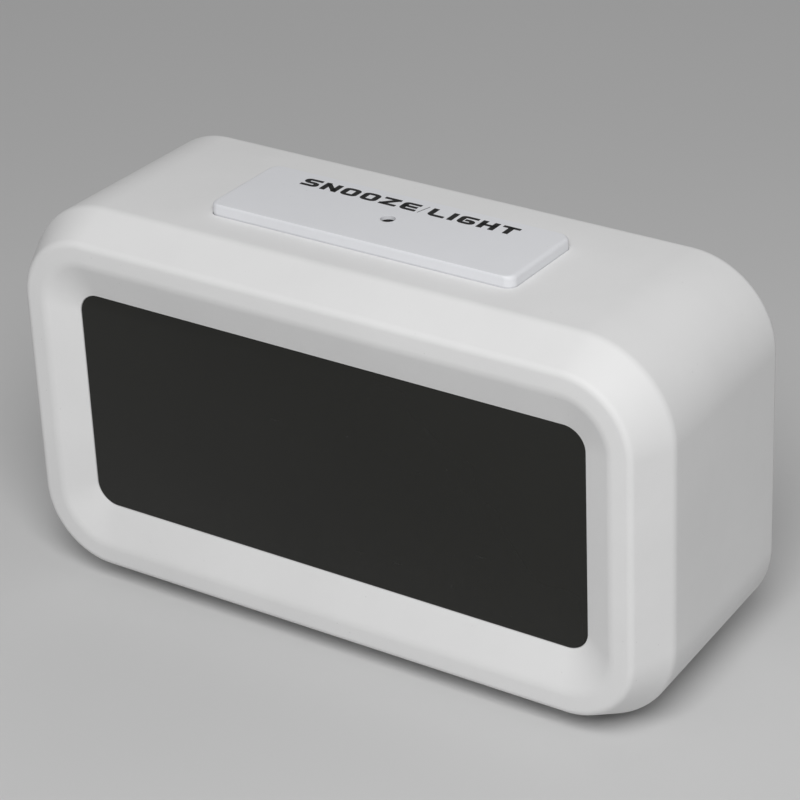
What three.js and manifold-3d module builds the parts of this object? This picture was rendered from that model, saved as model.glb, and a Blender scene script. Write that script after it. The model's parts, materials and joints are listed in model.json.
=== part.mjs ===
// A battery-powered desk alarm clock with a large display, an assembly of separate pieces.
// Millimetres. +X is to the right as seen from the front, -Y is the front, +Z is up.
// The origin is below the middle of the clock, on the surface that its feet stand on.

import * as THREE from 'three';
import { mergeVertices } from 'three/addons/utils/BufferGeometryUtils.js';
import Module from 'manifold-3d';

const wasm = await Module();
wasm.setup();

// ---- Driving dimensions ----

const GAP = 0.3; // clearance between pieces that touch
const BITE = 0.5; // how far two forms of one piece run into each other before they are joined
const WALL = 2.2; // moulded wall

// The case: a tub that narrows towards its back, with a chamfered front rim.
const CASE = {
  width: 135, // at its widest, just behind the front chamfer
  height: 75.2,
  depth: 47,
  radius: 17.8,
  lift: 0.6, // height of its lowest edge above the table
  draft: 1.15, // how far each side leans in from the widest outline to the back edge
  backEdge: 1.3, // rounding of the back edge
  chamferDepth: 8,
  chamferInset: 4.15,
  rimRadius: 13.5,
  rimWidth: 4.05,
  rimInnerRadius: 9.9,
};
// How far the inner face of the case steps in behind the lens pocket, rim, chamfer and widest outline.
const INNER = { pocket: 1.6, rim: 0.8, chamfer: 1.5, widest: 0.7 };
const FRONT_Y = -CASE.depth / 2;
const BACK_Y = CASE.depth / 2;
const WIDEST_Y = FRONT_Y + CASE.chamferDepth;
const DRAFT_END_Y = BACK_Y - CASE.backEdge;
const CASE_TOP = CASE.lift + CASE.height;
const CASE_MID = CASE.lift + CASE.height / 2;
const DRAFT_SLOPE = CASE.draft / (DRAFT_END_Y - WIDEST_Y);

// The display window, at the bottom of the slope inside the rim.
const WINDOW = { width: 105.9, height: 43.8, radius: 4.25, recess: 2.9, lip: 0.9 };
const WINDOW_Y = FRONT_Y + WINDOW.recess;
const LENS = { width: 108.6, height: 46.4, radius: 5.6, thick: 1.2 };
const LENS_Y = WINDOW_Y + WINDOW.lip + GAP;
const LENS_BACK_Y = LENS_Y + LENS.thick;
const LENS_POCKET_BACK_Y = LENS_BACK_Y + 0.2;

// The stack behind the lens, from front to back.
const LCD = { width: 102.4, height: 41.2, thick: 2.2 };
const LCD_Y = LENS_BACK_Y + GAP;
const LCD_FRAME = { width: 108, height: 46, radius: 1.5 };
const LIGHT_GUIDE = { width: 96, height: 33, thick: 2.2 };
const LIGHT_GUIDE_Y = LCD_Y + LCD.thick + GAP;
const BACKLIGHT = { width: 2.2, height: 3.2, thick: 1.8 };
const ZEBRA = { length: 90, height: 2.4, offset: 18.7 };
const MAIN_BOARD = { width: 121, height: 44, radius: 1.5, thick: 1.2 };
const MAIN_BOARD_Y = LIGHT_GUIDE_Y + LIGHT_GUIDE.thick + 0.7;
const MAIN_BOARD_BACK_Y = MAIN_BOARD_Y + MAIN_BOARD.thick;
const MAIN_BOSS = { x: 57.5, r: 2.5, rootY: FRONT_Y + 2.5 };
const CONTROLLER = { x: 15, above: 4, r: 6, height: 1.6, edge: 0.3, steps: 6 };

// The snooze key in the top, and what it presses.
const KEY = {
  length: 63.3,
  depth: 20.2,
  radius: 1.5,
  proud: 2.15,
  clearance: 0.35,
  y: WIDEST_Y + 17.8,
  wall: 1.8,
  flange: 1.5,
  flangeTop: 72.4,
  flangeThick: 1.2,
  cavityTop: 75.2,
  cavityRadius: 1.2,
  stemR: 2,
  sensorHole: 1.6,
  slotDepth: 6,
};
const KEY_TOP_AT_MIDDLE = CASE_TOP - DRAFT_SLOPE * (KEY.y - WIDEST_Y) + KEY.proud;
const SNOOZE_BOARD = { length: 79, depth: 17, radius: 1.5, thick: 1.2, z: 64.6 };
const SNOOZE_BOARD_TOP = SNOOZE_BOARD.z + SNOOZE_BOARD.thick;
const SNOOZE_BOSS = { x: 36.2, r: 2.5, rootZ: CASE_TOP - 1.6, holeTop: CASE_TOP - 4.5 };
const SNOOZE_SWITCH_X = 20;
const SENSOR = { sleeveR: 1.9, sleeveHeight: 4.4, r: 2.6, height: 2 };

// A push switch: a square body with a round plunger in a pocket.
const SWITCH = {
  side: 6,
  height: 3.2,
  pocketFloor: 0.5,
  pocketR: 2,
  plungerR: 1.7,
  plungerLength: 2.5,
  plungerUp: 4.2, // height of the plunger's end above the foot of the switch
};

// The rear cover, recessed in the back of the case.
const COVER = { recess: 1.2, thick: 2.4, inset: 3.7, pillarR: 4, pillarLength: 2, bossHoleEnd: 0.9 };
const COVER_Y = BACK_Y - COVER.recess;
const COVER_INNER_Y = COVER_Y - COVER.thick;
const POST = { x: 58.6, lowZ: 13.6, highZ: 62.8, r: 3.3, holeR: 1.5, frontY: -6, holeFloor: 2, rib: 1.6 };
const POST_BACK_Y = COVER_INNER_Y - COVER.pillarLength - GAP;

// Pan-head screws: head radius and height, shank radius.
const COVER_SCREW = { headR: 2.5, headHeight: 1.6, shankR: 1.2, length: 12, pocketR: 2.9, pocketDepth: 2.6 };
const BOARD_SCREW = { headR: 2.1, headHeight: 1.3, shankR: 1, length: 6, holeR: 1.3 };
const DRIVER_SLOT = { length: 2.6, width: 0.7, depth: 0.7 };

// The battery bay: three AAA cells lying across, one above another.
const CELL = { r: 5.25, length: 44.5, nubR: 1.9, nubLength: 0.8, bevel: 0.4, pitch: 11.2 };
const BAY = { halfLength: 25, z: 29, wall: 1.4, play: 0.45 };
const BAY_HALF_HEIGHT = CELL.pitch + CELL.r + BAY.play;
const LID = { thick: 1.5, margin: 1.7, radius: 2 };
const LID_Y = COVER_Y - LID.thick;
const LID_HALF_LENGTH = BAY.halfLength + LID.margin;
const LID_BOTTOM = BAY.z - BAY_HALF_HEIGHT - LID.margin;
const LID_TOP = BAY.z + BAY_HALF_HEIGHT + LID.margin;
const LID_TAB = { x: 15, width: 7, drop: 1.8, inner: 4.3, outer: 2.9, neck: 1.6, notch: 5.3 };
const LID_LATCH = { width: 8, depth: 2.4, thick: 1, below: 0.4, notch: 4.8 };
const LID_NOTCH_PLAY = 2; // how much wider than its tab or latch a notch is
const LID_RIB = { count: 3, length: 12, proud: 0.5, first: 4, pitch: 2, width: 0.8 };
const CELL_Y = LID_Y - GAP - CELL.r;
const BAY_FLOOR_Y = CELL_Y - CELL.r - GAP;
const CONTACT = {
  thick: 0.4,
  half: 4,
  tabHalf: 1.6,
  tabEndY: 6.4,
  wireR: 0.3,
  coils: 3,
  stepsPerTurn: 12,
  coilR: 3.4,
  coilTipR: 2.5,
};
const CONTACT_X = BAY.halfLength - GAP - CONTACT.thick;

// The board behind the rear keys.
const REAR_BOARD = { width: 104, height: 14, radius: 1, thick: 1.2, y: 12.6, z: 62 };
const REAR_BOARD_BACK_Y = REAR_BOARD.y + REAR_BOARD.thick;
const REAR_BOSS = { x: 33, r: 2.6, holeR: 1.3 };
const REAR_KEY = {
  width: 9.4,
  height: 5.2,
  proud: 0.9,
  clearance: 0.3,
  flange: 1.2,
  flangeThick: 1.3,
  flangeRadius: 2,
  pitch: 16,
};
const REAR_KEY_NAMES = ['mode', 'set', 'up', 'down'];
const SLIDER = {
  x: 42,
  travel: 4,
  width: 4,
  height: 3,
  root: 0.6,
  proud: 0.7,
  stemWidth: 2,
  stemHeight: 1.6,
  play: 0.3,
  slotRadius: 0.6,
};
const SLIDE_SWITCH = { width: 9.6, height: 4.6, depth: 3.5, slotHeight: 2.2, slotWidth: 6.8, floor: 0.8 };
const BUZZER = { x: -44, r: 6, length: 5.6, holeR: 1.2, holeDepth: 1.5 };
const GRILLE = { holeR: 0.8, pitch: 2.8, holesAround: 6 };

// Feet: round rubber pads in shallow recesses.
const FOOT = { r: 4.5, x: 42, frontY: -10, backY: 16, recess: 0.7, recessClearance: 0.3 };

// Wires and ribbon cables.
const WIRE = { r: 0.65, sides: 8, steps: 20 };
const RIBBON = { thick: 0.8, width: 8, steps: 14 };

const SEGMENTS = { thin: 12, small: 16, medium: 24, corner: 3, fineCorner: 8, caseCorner: 5, coverCorner: 14 };
const FAR = 50; // longer than any wall that is cut through

// ---- Materials ----

const plastic = (color, roughness = 0.5) => new THREE.MeshStandardMaterial({ color, roughness, metalness: 0 });
const metal = (color, roughness = 0.35) => new THREE.MeshStandardMaterial({ color, roughness, metalness: 1 });

const WHITE_ABS = plastic(0xe9edf0, 0.5);
const KEY_ABS = plastic(0xecf0f3, 0.45);
const SMOKED = plastic(0x20211f, 0.12);
const LCD_GLASS = plastic(0x9aa394, 0.1);
const GREY_PLASTIC = plastic(0xb9bdbd, 0.6);
const GUIDE_ACRYLIC = plastic(0xdfe8ea, 0.2);
const LED_BODY = plastic(0xf3f0c8, 0.4);
const ELASTOMER = plastic(0xd9899a, 0.8);
const BOARD_GREEN = plastic(0x2e6b3f, 0.5);
const EPOXY = plastic(0x0c0c0d, 0.35);
const BLACK_PLASTIC = plastic(0x17181a, 0.5);
const RUBBER = plastic(0x2a2a2b, 0.9);
const SCREW_STEEL = metal(0xb4b7ba, 0.35);
const NICKEL = metal(0xc9c7bd, 0.3);
const CELL_JACKET = plastic(0x3c4a5e, 0.4);
const WIRE_RED = plastic(0xa32420, 0.5);
const WIRE_BLACK = plastic(0x161616, 0.5);
const RIBBON_GREY = plastic(0x9b9ea1, 0.6);
const SENSOR_TAN = plastic(0xc6a36c, 0.5);

// ---- Solids ----

function toSolid(geometry) {
  const bare = geometry.clone();
  bare.deleteAttribute('normal');
  bare.deleteAttribute('uv');
  const merged = mergeVertices(bare);
  return new wasm.Manifold(new wasm.Mesh({
    numProp: 3,
    vertProperties: Float32Array.from(merged.attributes.position.array),
    triVerts: Uint32Array.from(merged.index.array),
  }));
}

function toGeometry(solid) {
  const { vertProperties, triVerts } = solid.getMesh();
  const geometry = new THREE.BufferGeometry();
  geometry.setAttribute('position', new THREE.BufferAttribute(vertProperties, 3));
  geometry.setIndex(new THREE.BufferAttribute(triVerts, 1));
  geometry.computeVertexNormals();
  return geometry;
}

const join = (...geometries) => toGeometry(geometries.map(toSolid).reduce((all, next) => all.add(next)));

function cut(geometry, ...tools) {
  return toGeometry(tools.map(toSolid).reduce((rest, tool) => rest.subtract(tool), toSolid(geometry)));
}

const span = ([low, high]) => ({ size: high - low, middle: (low + high) / 2 });

// A box between two corners.
function block(xRange, yRange, zRange) {
  const [x, y, z] = [xRange, yRange, zRange].map(span);
  return new THREE.BoxGeometry(x.size, y.size, z.size).translate(x.middle, y.middle, z.middle);
}

const around = (middle, size) => [middle - size / 2, middle + size / 2];

function roundedRect(width, height, radius) {
  const shape = new THREE.Shape();
  const x = width / 2 - radius;
  const y = height / 2 - radius;
  const quarter = Math.PI / 2;
  shape.absarc(x, y, radius, 0, quarter);
  shape.absarc(-x, y, radius, quarter, 2 * quarter);
  shape.absarc(-x, -y, radius, 2 * quarter, 3 * quarter);
  shape.absarc(x, -y, radius, 3 * quarter, 4 * quarter);
  shape.closePath();
  return shape;
}

// A rounded rectangle seen from the front, extruded along Y.
function plate(width, height, radius, yRange, x, z, segments = SEGMENTS.corner) {
  const depth = yRange[1] - yRange[0];
  const settings = { depth, bevelEnabled: false, curveSegments: segments };
  const geometry = new THREE.ExtrudeGeometry(roundedRect(width, height, radius), settings);
  return geometry.rotateX(Math.PI / 2).translate(x, yRange[1], z);
}

// A rounded rectangle seen from above, extruded along Z.
function slab(length, depth, radius, zRange, x, y, segments = SEGMENTS.corner) {
  const settings = { depth: zRange[1] - zRange[0], bevelEnabled: false, curveSegments: segments };
  return new THREE.ExtrudeGeometry(roundedRect(length, depth, radius), settings).translate(x, y, zRange[0]);
}

function rodY(r, yRange, x, z, segments = SEGMENTS.small) {
  const y = span(yRange);
  return new THREE.CylinderGeometry(r, r, y.size, segments).translate(x, y.middle, z);
}

function rodZ(r, zRange, x, y, segments = SEGMENTS.small) {
  const z = span(zRange);
  return new THREE.CylinderGeometry(r, r, z.size, segments).rotateX(Math.PI / 2).translate(x, y, z.middle);
}

// A strip of even thickness that follows a curve in the YZ plane, with its width along X.
function strip(points, thick, width, x) {
  const curve = new THREE.SplineCurve(points.map(([y, z]) => new THREE.Vector2(y, z)));
  const sides = [-thick / 2, thick / 2].map((offset) => {
    const edge = [];
    for (let i = 0; i <= RIBBON.steps; i += 1) {
      const point = curve.getPoint(i / RIBBON.steps);
      const along = curve.getTangent(i / RIBBON.steps);
      edge.push(new THREE.Vector2(point.x - along.y * offset, point.y + along.x * offset));
    }
    return edge;
  });
  const shape = new THREE.Shape([...sides[0], ...sides[1].reverse()]);
  const geometry = new THREE.ExtrudeGeometry(shape, { depth: width, bevelEnabled: false });
  // The shape's own X and Y become Y and Z, and its depth becomes X.
  const toYZ = new THREE.Matrix4().set(0, 0, 1, x - width / 2, 1, 0, 0, 0, 0, 1, 0, 0, 0, 0, 0, 1);
  return geometry.applyMatrix4(toYZ);
}

function wire(curve, r, steps, sides) {
  const section = new THREE.Shape();
  section.absarc(0, 0, r, 0, 2 * Math.PI);
  const settings = { steps, extrudePath: curve, curveSegments: sides / 2 };
  return new THREE.ExtrudeGeometry(section, settings);
}

// ---- Assembly ----

const clock = new THREE.Group();

function add(name, geometry, material) {
  const mesh = new THREE.Mesh(geometry, material);
  mesh.name = name;
  clock.add(mesh);
}

// One section of the case: a rounded rectangle at depth y, set in from the widest outline.
function section(insetX, insetZ, radius, y) {
  const outline = roundedRect(CASE.width - 2 * insetX, CASE.height - 2 * insetZ, radius);
  const points = outline.getPoints(SEGMENTS.caseCorner);
  points.pop(); // the outline repeats its first point
  return points.map((p) => [p.x, y, p.y + CASE_MID]);
}

const evenSection = (inset, y, radius = CASE.radius - inset) => section(inset, inset, radius, y);

// Joins sections into one skin and closes the last section back to the first.
function loft(sections) {
  const count = sections[0].length;
  const index = [];
  sections.forEach((_, i) => {
    const here = i * count;
    const next = ((i + 1) % sections.length) * count;
    for (let a = 0; a < count; a += 1) {
      const b = (a + 1) % count;
      index.push(here + a, next + b, next + a, here + a, here + b, next + b);
    }
  });
  const geometry = new THREE.BufferGeometry();
  geometry.setAttribute('position', new THREE.Float32BufferAttribute(sections.flat(2), 3));
  geometry.setIndex(index);
  return geometry;
}

function caseShell() {
  const windowInset = [(CASE.width - WINDOW.width) / 2, (CASE.height - WINDOW.height) / 2];
  const pocketInset = [(CASE.width - LENS.width) / 2 - GAP, (CASE.height - LENS.height) / 2 - GAP];
  const rimInner = CASE.chamferInset + CASE.rimWidth;
  const innerWall = CASE.draft + WALL;
  return loft([
    // outside, from the back edge to the front rim and down the slope to the window
    evenSection(CASE.draft + CASE.backEdge, BACK_Y),
    evenSection(CASE.draft, DRAFT_END_Y),
    evenSection(0, WIDEST_Y),
    evenSection(CASE.chamferInset, FRONT_Y, CASE.rimRadius),
    evenSection(rimInner, FRONT_Y, CASE.rimInnerRadius),
    section(...windowInset, WINDOW.radius, WINDOW_Y),
    // inside: the window's lip, the lens pocket, then the hollow behind the rim
    section(...windowInset, WINDOW.radius, WINDOW_Y + WINDOW.lip),
    section(...pocketInset, LENS.radius + GAP, WINDOW_Y + WINDOW.lip),
    section(...pocketInset, LENS.radius + GAP, LENS_POCKET_BACK_Y),
    section(...pocketInset.map((inset) => inset - INNER.pocket), LENS.radius + 1, LENS_POCKET_BACK_Y),
    evenSection(rimInner + INNER.rim, FRONT_Y + WALL, CASE.rimInnerRadius),
    evenSection(CASE.chamferInset + INNER.chamfer, FRONT_Y + WALL, CASE.rimRadius - 1),
    evenSection(WALL, WIDEST_Y + INNER.widest),
    evenSection(innerWall, BACK_Y),
  ]);
}

const caseBottomAt = (y) => CASE.lift + DRAFT_SLOPE * (y - WIDEST_Y);

const footPlaces = [
  ['foot_front_left', -FOOT.x, FOOT.frontY],
  ['foot_front_right', FOOT.x, FOOT.frontY],
  ['foot_back_left', -FOOT.x, FOOT.backY],
  ['foot_back_right', FOOT.x, FOOT.backY],
];
const footTop = (y) => caseBottomAt(y) + FOOT.recess;

const postPlaces = [
  ['lower_left', -POST.x, POST.lowZ],
  ['lower_right', POST.x, POST.lowZ],
  ['upper_left', -POST.x, POST.highZ],
  ['upper_right', POST.x, POST.highZ],
];

function addCase() {
  const bosses = [];
  const holes = [];
  for (const [, x, z] of postPlaces) {
    const side = Math.sign(x);
    const wallX = side * (CASE.width / 2 - CASE.draft - WALL / 2);
    bosses.push(rodY(POST.r, [POST.frontY, POST_BACK_Y], x, z));
    const ribX = [Math.min(x, wallX), Math.max(x, wallX)];
    bosses.push(block(ribX, [POST.frontY, POST_BACK_Y], around(z, POST.rib)));
    holes.push(rodY(POST.holeR, [POST.frontY + POST.holeFloor, POST_BACK_Y + BITE], x, z));
  }
  for (const side of [-1, 1]) {
    bosses.push(rodY(MAIN_BOSS.r, [MAIN_BOSS.rootY, MAIN_BOARD_Y - GAP], side * MAIN_BOSS.x, CASE_MID));
    holes.push(rodY(BOARD_SCREW.holeR, [LENS_Y, MAIN_BOARD_Y], side * MAIN_BOSS.x, CASE_MID));
    const bossRange = [SNOOZE_BOARD_TOP + GAP, SNOOZE_BOSS.rootZ];
    bosses.push(rodZ(SNOOZE_BOSS.r, bossRange, side * SNOOZE_BOSS.x, KEY.y));
    holes.push(rodZ(BOARD_SCREW.holeR, [SNOOZE_BOARD.z, SNOOZE_BOSS.holeTop], side * SNOOZE_BOSS.x, KEY.y));
  }
  const slot = slab(KEY.length + 2 * KEY.clearance, KEY.depth + 2 * KEY.clearance, KEY.radius + KEY.clearance,
    [CASE_TOP - KEY.slotDepth, CASE_TOP + FAR], 0, KEY.y);
  const footRecesses = footPlaces.map(([, x, y]) => (
    rodZ(FOOT.r + FOOT.recessClearance, [-FAR, footTop(y)], x, y, SEGMENTS.medium)));
  const shell = join(caseShell(), ...bosses);
  add('front_housing', cut(shell, ...holes, slot, ...footRecesses), WHITE_ABS);
  for (const [name, x, y] of footPlaces) {
    add(name, rodZ(FOOT.r, [0, footTop(y) - GAP], x, y, SEGMENTS.medium), RUBBER);
  }
}

function addDisplay() {
  const lensRange = [LENS_Y, LENS_BACK_Y];
  add('display_lens', plate(LENS.width, LENS.height, LENS.radius, lensRange, 0, CASE_MID), SMOKED);

  const frameRange = [LCD_Y, MAIN_BOARD_Y - GAP];
  const frame = plate(LCD_FRAME.width, LCD_FRAME.height, LCD_FRAME.radius, frameRange, 0, CASE_MID);
  const opening = block(around(0, LCD.width + 2 * GAP), [-FAR, 0], around(CASE_MID, LCD.height + 2 * GAP));
  add('lcd_frame', cut(frame, opening), GREY_PLASTIC);

  const panelRange = [LCD_Y, LCD_Y + LCD.thick];
  add('lcd_panel', block(around(0, LCD.width), panelRange, around(CASE_MID, LCD.height)), LCD_GLASS);

  const guideRange = [LIGHT_GUIDE_Y, LIGHT_GUIDE_Y + LIGHT_GUIDE.thick];
  const guide = block(around(0, LIGHT_GUIDE.width), guideRange, around(CASE_MID, LIGHT_GUIDE.height));
  add('light_guide', guide, GUIDE_ACRYLIC);

  const ledX = -LIGHT_GUIDE.width / 2 - GAP - BACKLIGHT.width / 2;
  const ledY = LIGHT_GUIDE_Y + LIGHT_GUIDE.thick / 2;
  add('backlight_led', block(around(ledX, BACKLIGHT.width), around(ledY, BACKLIGHT.thick),
    around(CASE_MID, BACKLIGHT.height)), LED_BODY);

  const zebraRange = [LIGHT_GUIDE_Y, MAIN_BOARD_Y - GAP];
  for (const [name, side] of [['zebra_strip_top', 1], ['zebra_strip_bottom', -1]]) {
    const z = around(CASE_MID + side * ZEBRA.offset, ZEBRA.height);
    add(name, block(around(0, ZEBRA.length), zebraRange, z), ELASTOMER);
  }
}

// A pan-head screw along +Y: its head ends the screw at y = headEnd, and the shank runs to -Y or +Y.
function screw(size, x, headY, z, shankSide) {
  const headEnd = headY - shankSide * size.headHeight;
  const shankEnd = headY + shankSide * size.length;
  const ordered = (a, b) => [Math.min(a, b), Math.max(a, b)];
  const head = rodY(size.headR, ordered(headEnd, headY), x, z, SEGMENTS.medium);
  const shank = rodY(size.shankR, ordered(headY - shankSide * BITE, shankEnd), x, z, SEGMENTS.thin);
  const { length, width, depth } = DRIVER_SLOT;
  const slotRange = ordered(headEnd - shankSide, headEnd + shankSide * depth);
  const driverSlots = [[length, width], [width, length]].map(([across, high]) => (
    block(around(x, across), slotRange, around(z, high))));
  return cut(join(head, shank), ...driverSlots);
}

function addMainBoard() {
  const holes = [-1, 1].map((side) => rodY(BOARD_SCREW.holeR, [-FAR, 0], side * MAIN_BOSS.x, CASE_MID));
  const range = [MAIN_BOARD_Y, MAIN_BOARD_BACK_Y];
  const board = plate(MAIN_BOARD.width, MAIN_BOARD.height, MAIN_BOARD.radius, range, 0, CASE_MID);
  add('main_board', cut(board, ...holes), BOARD_GREEN);

  for (const [name, side] of [['main_board_screw_left', -1], ['main_board_screw_right', 1]]) {
    add(name, screw(BOARD_SCREW, side * MAIN_BOSS.x, MAIN_BOARD_BACK_Y + GAP, CASE_MID, -1), SCREW_STEEL);
  }

  // The controller chip under its drop of epoxy: a low dome on the back of the board.
  const { r, height, edge, steps } = CONTROLLER;
  const profile = [new THREE.Vector2(0, 0), new THREE.Vector2(r, 0)];
  for (let i = 1; i <= steps; i += 1) {
    const turn = (i / steps) * (Math.PI / 2);
    profile.push(new THREE.Vector2(r * Math.cos(turn), edge + (height - edge) * Math.sin(turn)));
  }
  profile[profile.length - 1].x = 0;
  const dome = new THREE.LatheGeometry(profile, SEGMENTS.medium);
  const domeY = MAIN_BOARD_BACK_Y + 0.05;
  add('controller_blob', dome.translate(CONTROLLER.x, domeY, CASE_MID + CONTROLLER.above), EPOXY);
}

// A push switch that faces +Z, standing on z = 0: its body, and its plunger at rest.
function switchParts() {
  const half = [-SWITCH.side / 2, SWITCH.side / 2];
  const pocket = rodZ(SWITCH.pocketR, [SWITCH.pocketFloor, FAR], 0, 0);
  const body = cut(block(half, half, [0, SWITCH.height]), pocket);
  const plungerRange = [SWITCH.plungerUp - SWITCH.plungerLength, SWITCH.plungerUp];
  const plunger = rodZ(SWITCH.plungerR, plungerRange, 0, 0, SEGMENTS.thin);
  return { body, plunger };
}

function keySolid() {
  const tilt = Math.atan(DRAFT_SLOPE);
  const bottom = KEY.flangeTop - KEY.flangeThick;
  const blank = slab(KEY.length, KEY.depth, KEY.radius, [bottom, CASE_TOP + 2 * KEY.proud], 0, KEY.y);
  // The key's top is parallel to the sloping top of the case.
  const above = block([-FAR, FAR], [-FAR, FAR], [0, FAR]).rotateX(-tilt);
  above.translate(0, KEY.y, KEY_TOP_AT_MIDDLE);
  const flange = slab(KEY.length + 2 * KEY.flange, KEY.depth + 2 * KEY.flange, KEY.radius + KEY.flange,
    [bottom, KEY.flangeTop], 0, KEY.y);
  const cavity = slab(KEY.length - 2 * KEY.wall, KEY.depth - 2 * KEY.wall, KEY.cavityRadius,
    [0, KEY.cavityTop], 0, KEY.y);
  const hollow = cut(join(blank, flange), above, cavity);
  const stemEnd = SNOOZE_BOARD_TOP + GAP + SWITCH.plungerUp + GAP;
  const stemRange = [stemEnd, KEY.cavityTop + BITE];
  const stems = [-1, 1].map((side) => rodZ(KEY.stemR, stemRange, side * SNOOZE_SWITCH_X, KEY.y));
  const sensorHole = rodZ(KEY.sensorHole, [0, FAR * 2], 0, KEY.y, SEGMENTS.medium);
  return cut(join(hollow, ...stems), sensorHole);
}

function addSnooze() {
  add('snooze_key', keySolid(), KEY_ABS);

  const boardRange = [SNOOZE_BOARD.z, SNOOZE_BOARD_TOP];
  const board = slab(SNOOZE_BOARD.length, SNOOZE_BOARD.depth, SNOOZE_BOARD.radius, boardRange, 0, KEY.y);
  const holes = [-1, 1].map((side) => rodZ(BOARD_SCREW.holeR, [0, FAR * 2], side * SNOOZE_BOSS.x, KEY.y));
  add('snooze_board', cut(board, ...holes), BOARD_GREEN);

  for (const [name, side] of [['left', -1], ['right', 1]]) {
    const { body, plunger } = switchParts();
    const place = [side * SNOOZE_SWITCH_X, KEY.y, SNOOZE_BOARD_TOP + GAP];
    add(`snooze_switch_${name}`, body.translate(...place), BLACK_PLASTIC);
    add(`snooze_plunger_${name}`, plunger.translate(...place), GREY_PLASTIC);

    // This screw points up, so it is made along +Y and turned.
    const upright = screw(BOARD_SCREW, 0, 0, 0, 1).rotateX(Math.PI / 2);
    upright.translate(side * SNOOZE_BOSS.x, KEY.y, SNOOZE_BOARD.z - GAP);
    add(`snooze_board_screw_${name}`, upright, SCREW_STEEL);
  }

  // The light sensor: a round cell on a sleeve, just below the hole in the key.
  const bottom = SNOOZE_BOARD_TOP + GAP;
  const sleeveTop = bottom + SENSOR.sleeveHeight;
  const sleeve = rodZ(SENSOR.sleeveR, [bottom, sleeveTop + BITE], 0, KEY.y);
  const cell = rodZ(SENSOR.r, [sleeveTop, sleeveTop + SENSOR.height], 0, KEY.y, SEGMENTS.medium);
  add('light_sensor', join(sleeve, cell), SENSOR_TAN);
}

// Seen from behind, the keys run from left to right, which is from +X to -X.
const rearKeys = REAR_KEY_NAMES.map((name, i) => (
  { name, x: ((REAR_KEY_NAMES.length - 1) / 2 - i) * REAR_KEY.pitch }));

function grilleHoles() {
  const through = [COVER_INNER_Y - BITE, COVER_Y + BITE];
  const holes = [rodY(GRILLE.holeR, through, BUZZER.x, REAR_BOARD.z)];
  for (let i = 0; i < GRILLE.holesAround; i += 1) {
    const turn = (i / GRILLE.holesAround) * 2 * Math.PI;
    const x = BUZZER.x + GRILLE.pitch * Math.cos(turn);
    holes.push(rodY(GRILLE.holeR, through, x, REAR_BOARD.z + GRILLE.pitch * Math.sin(turn)));
  }
  return holes;
}

function lidNotches() {
  const tabs = [-1, 1].map((side) => (
    block(around(side * LID_TAB.x, LID_TAB.width + LID_NOTCH_PLAY), [COVER_Y - LID_TAB.notch, LID_Y - GAP],
      [LID_BOTTOM, BAY.z - BAY_HALF_HEIGHT + BITE])));
  const latch = block(around(0, LID_LATCH.width + LID_NOTCH_PLAY), [COVER_Y - LID_LATCH.notch, LID_Y - GAP],
    [BAY.z + BAY_HALF_HEIGHT - BITE, LID_TOP + GAP]);
  return [...tabs, latch];
}

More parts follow.
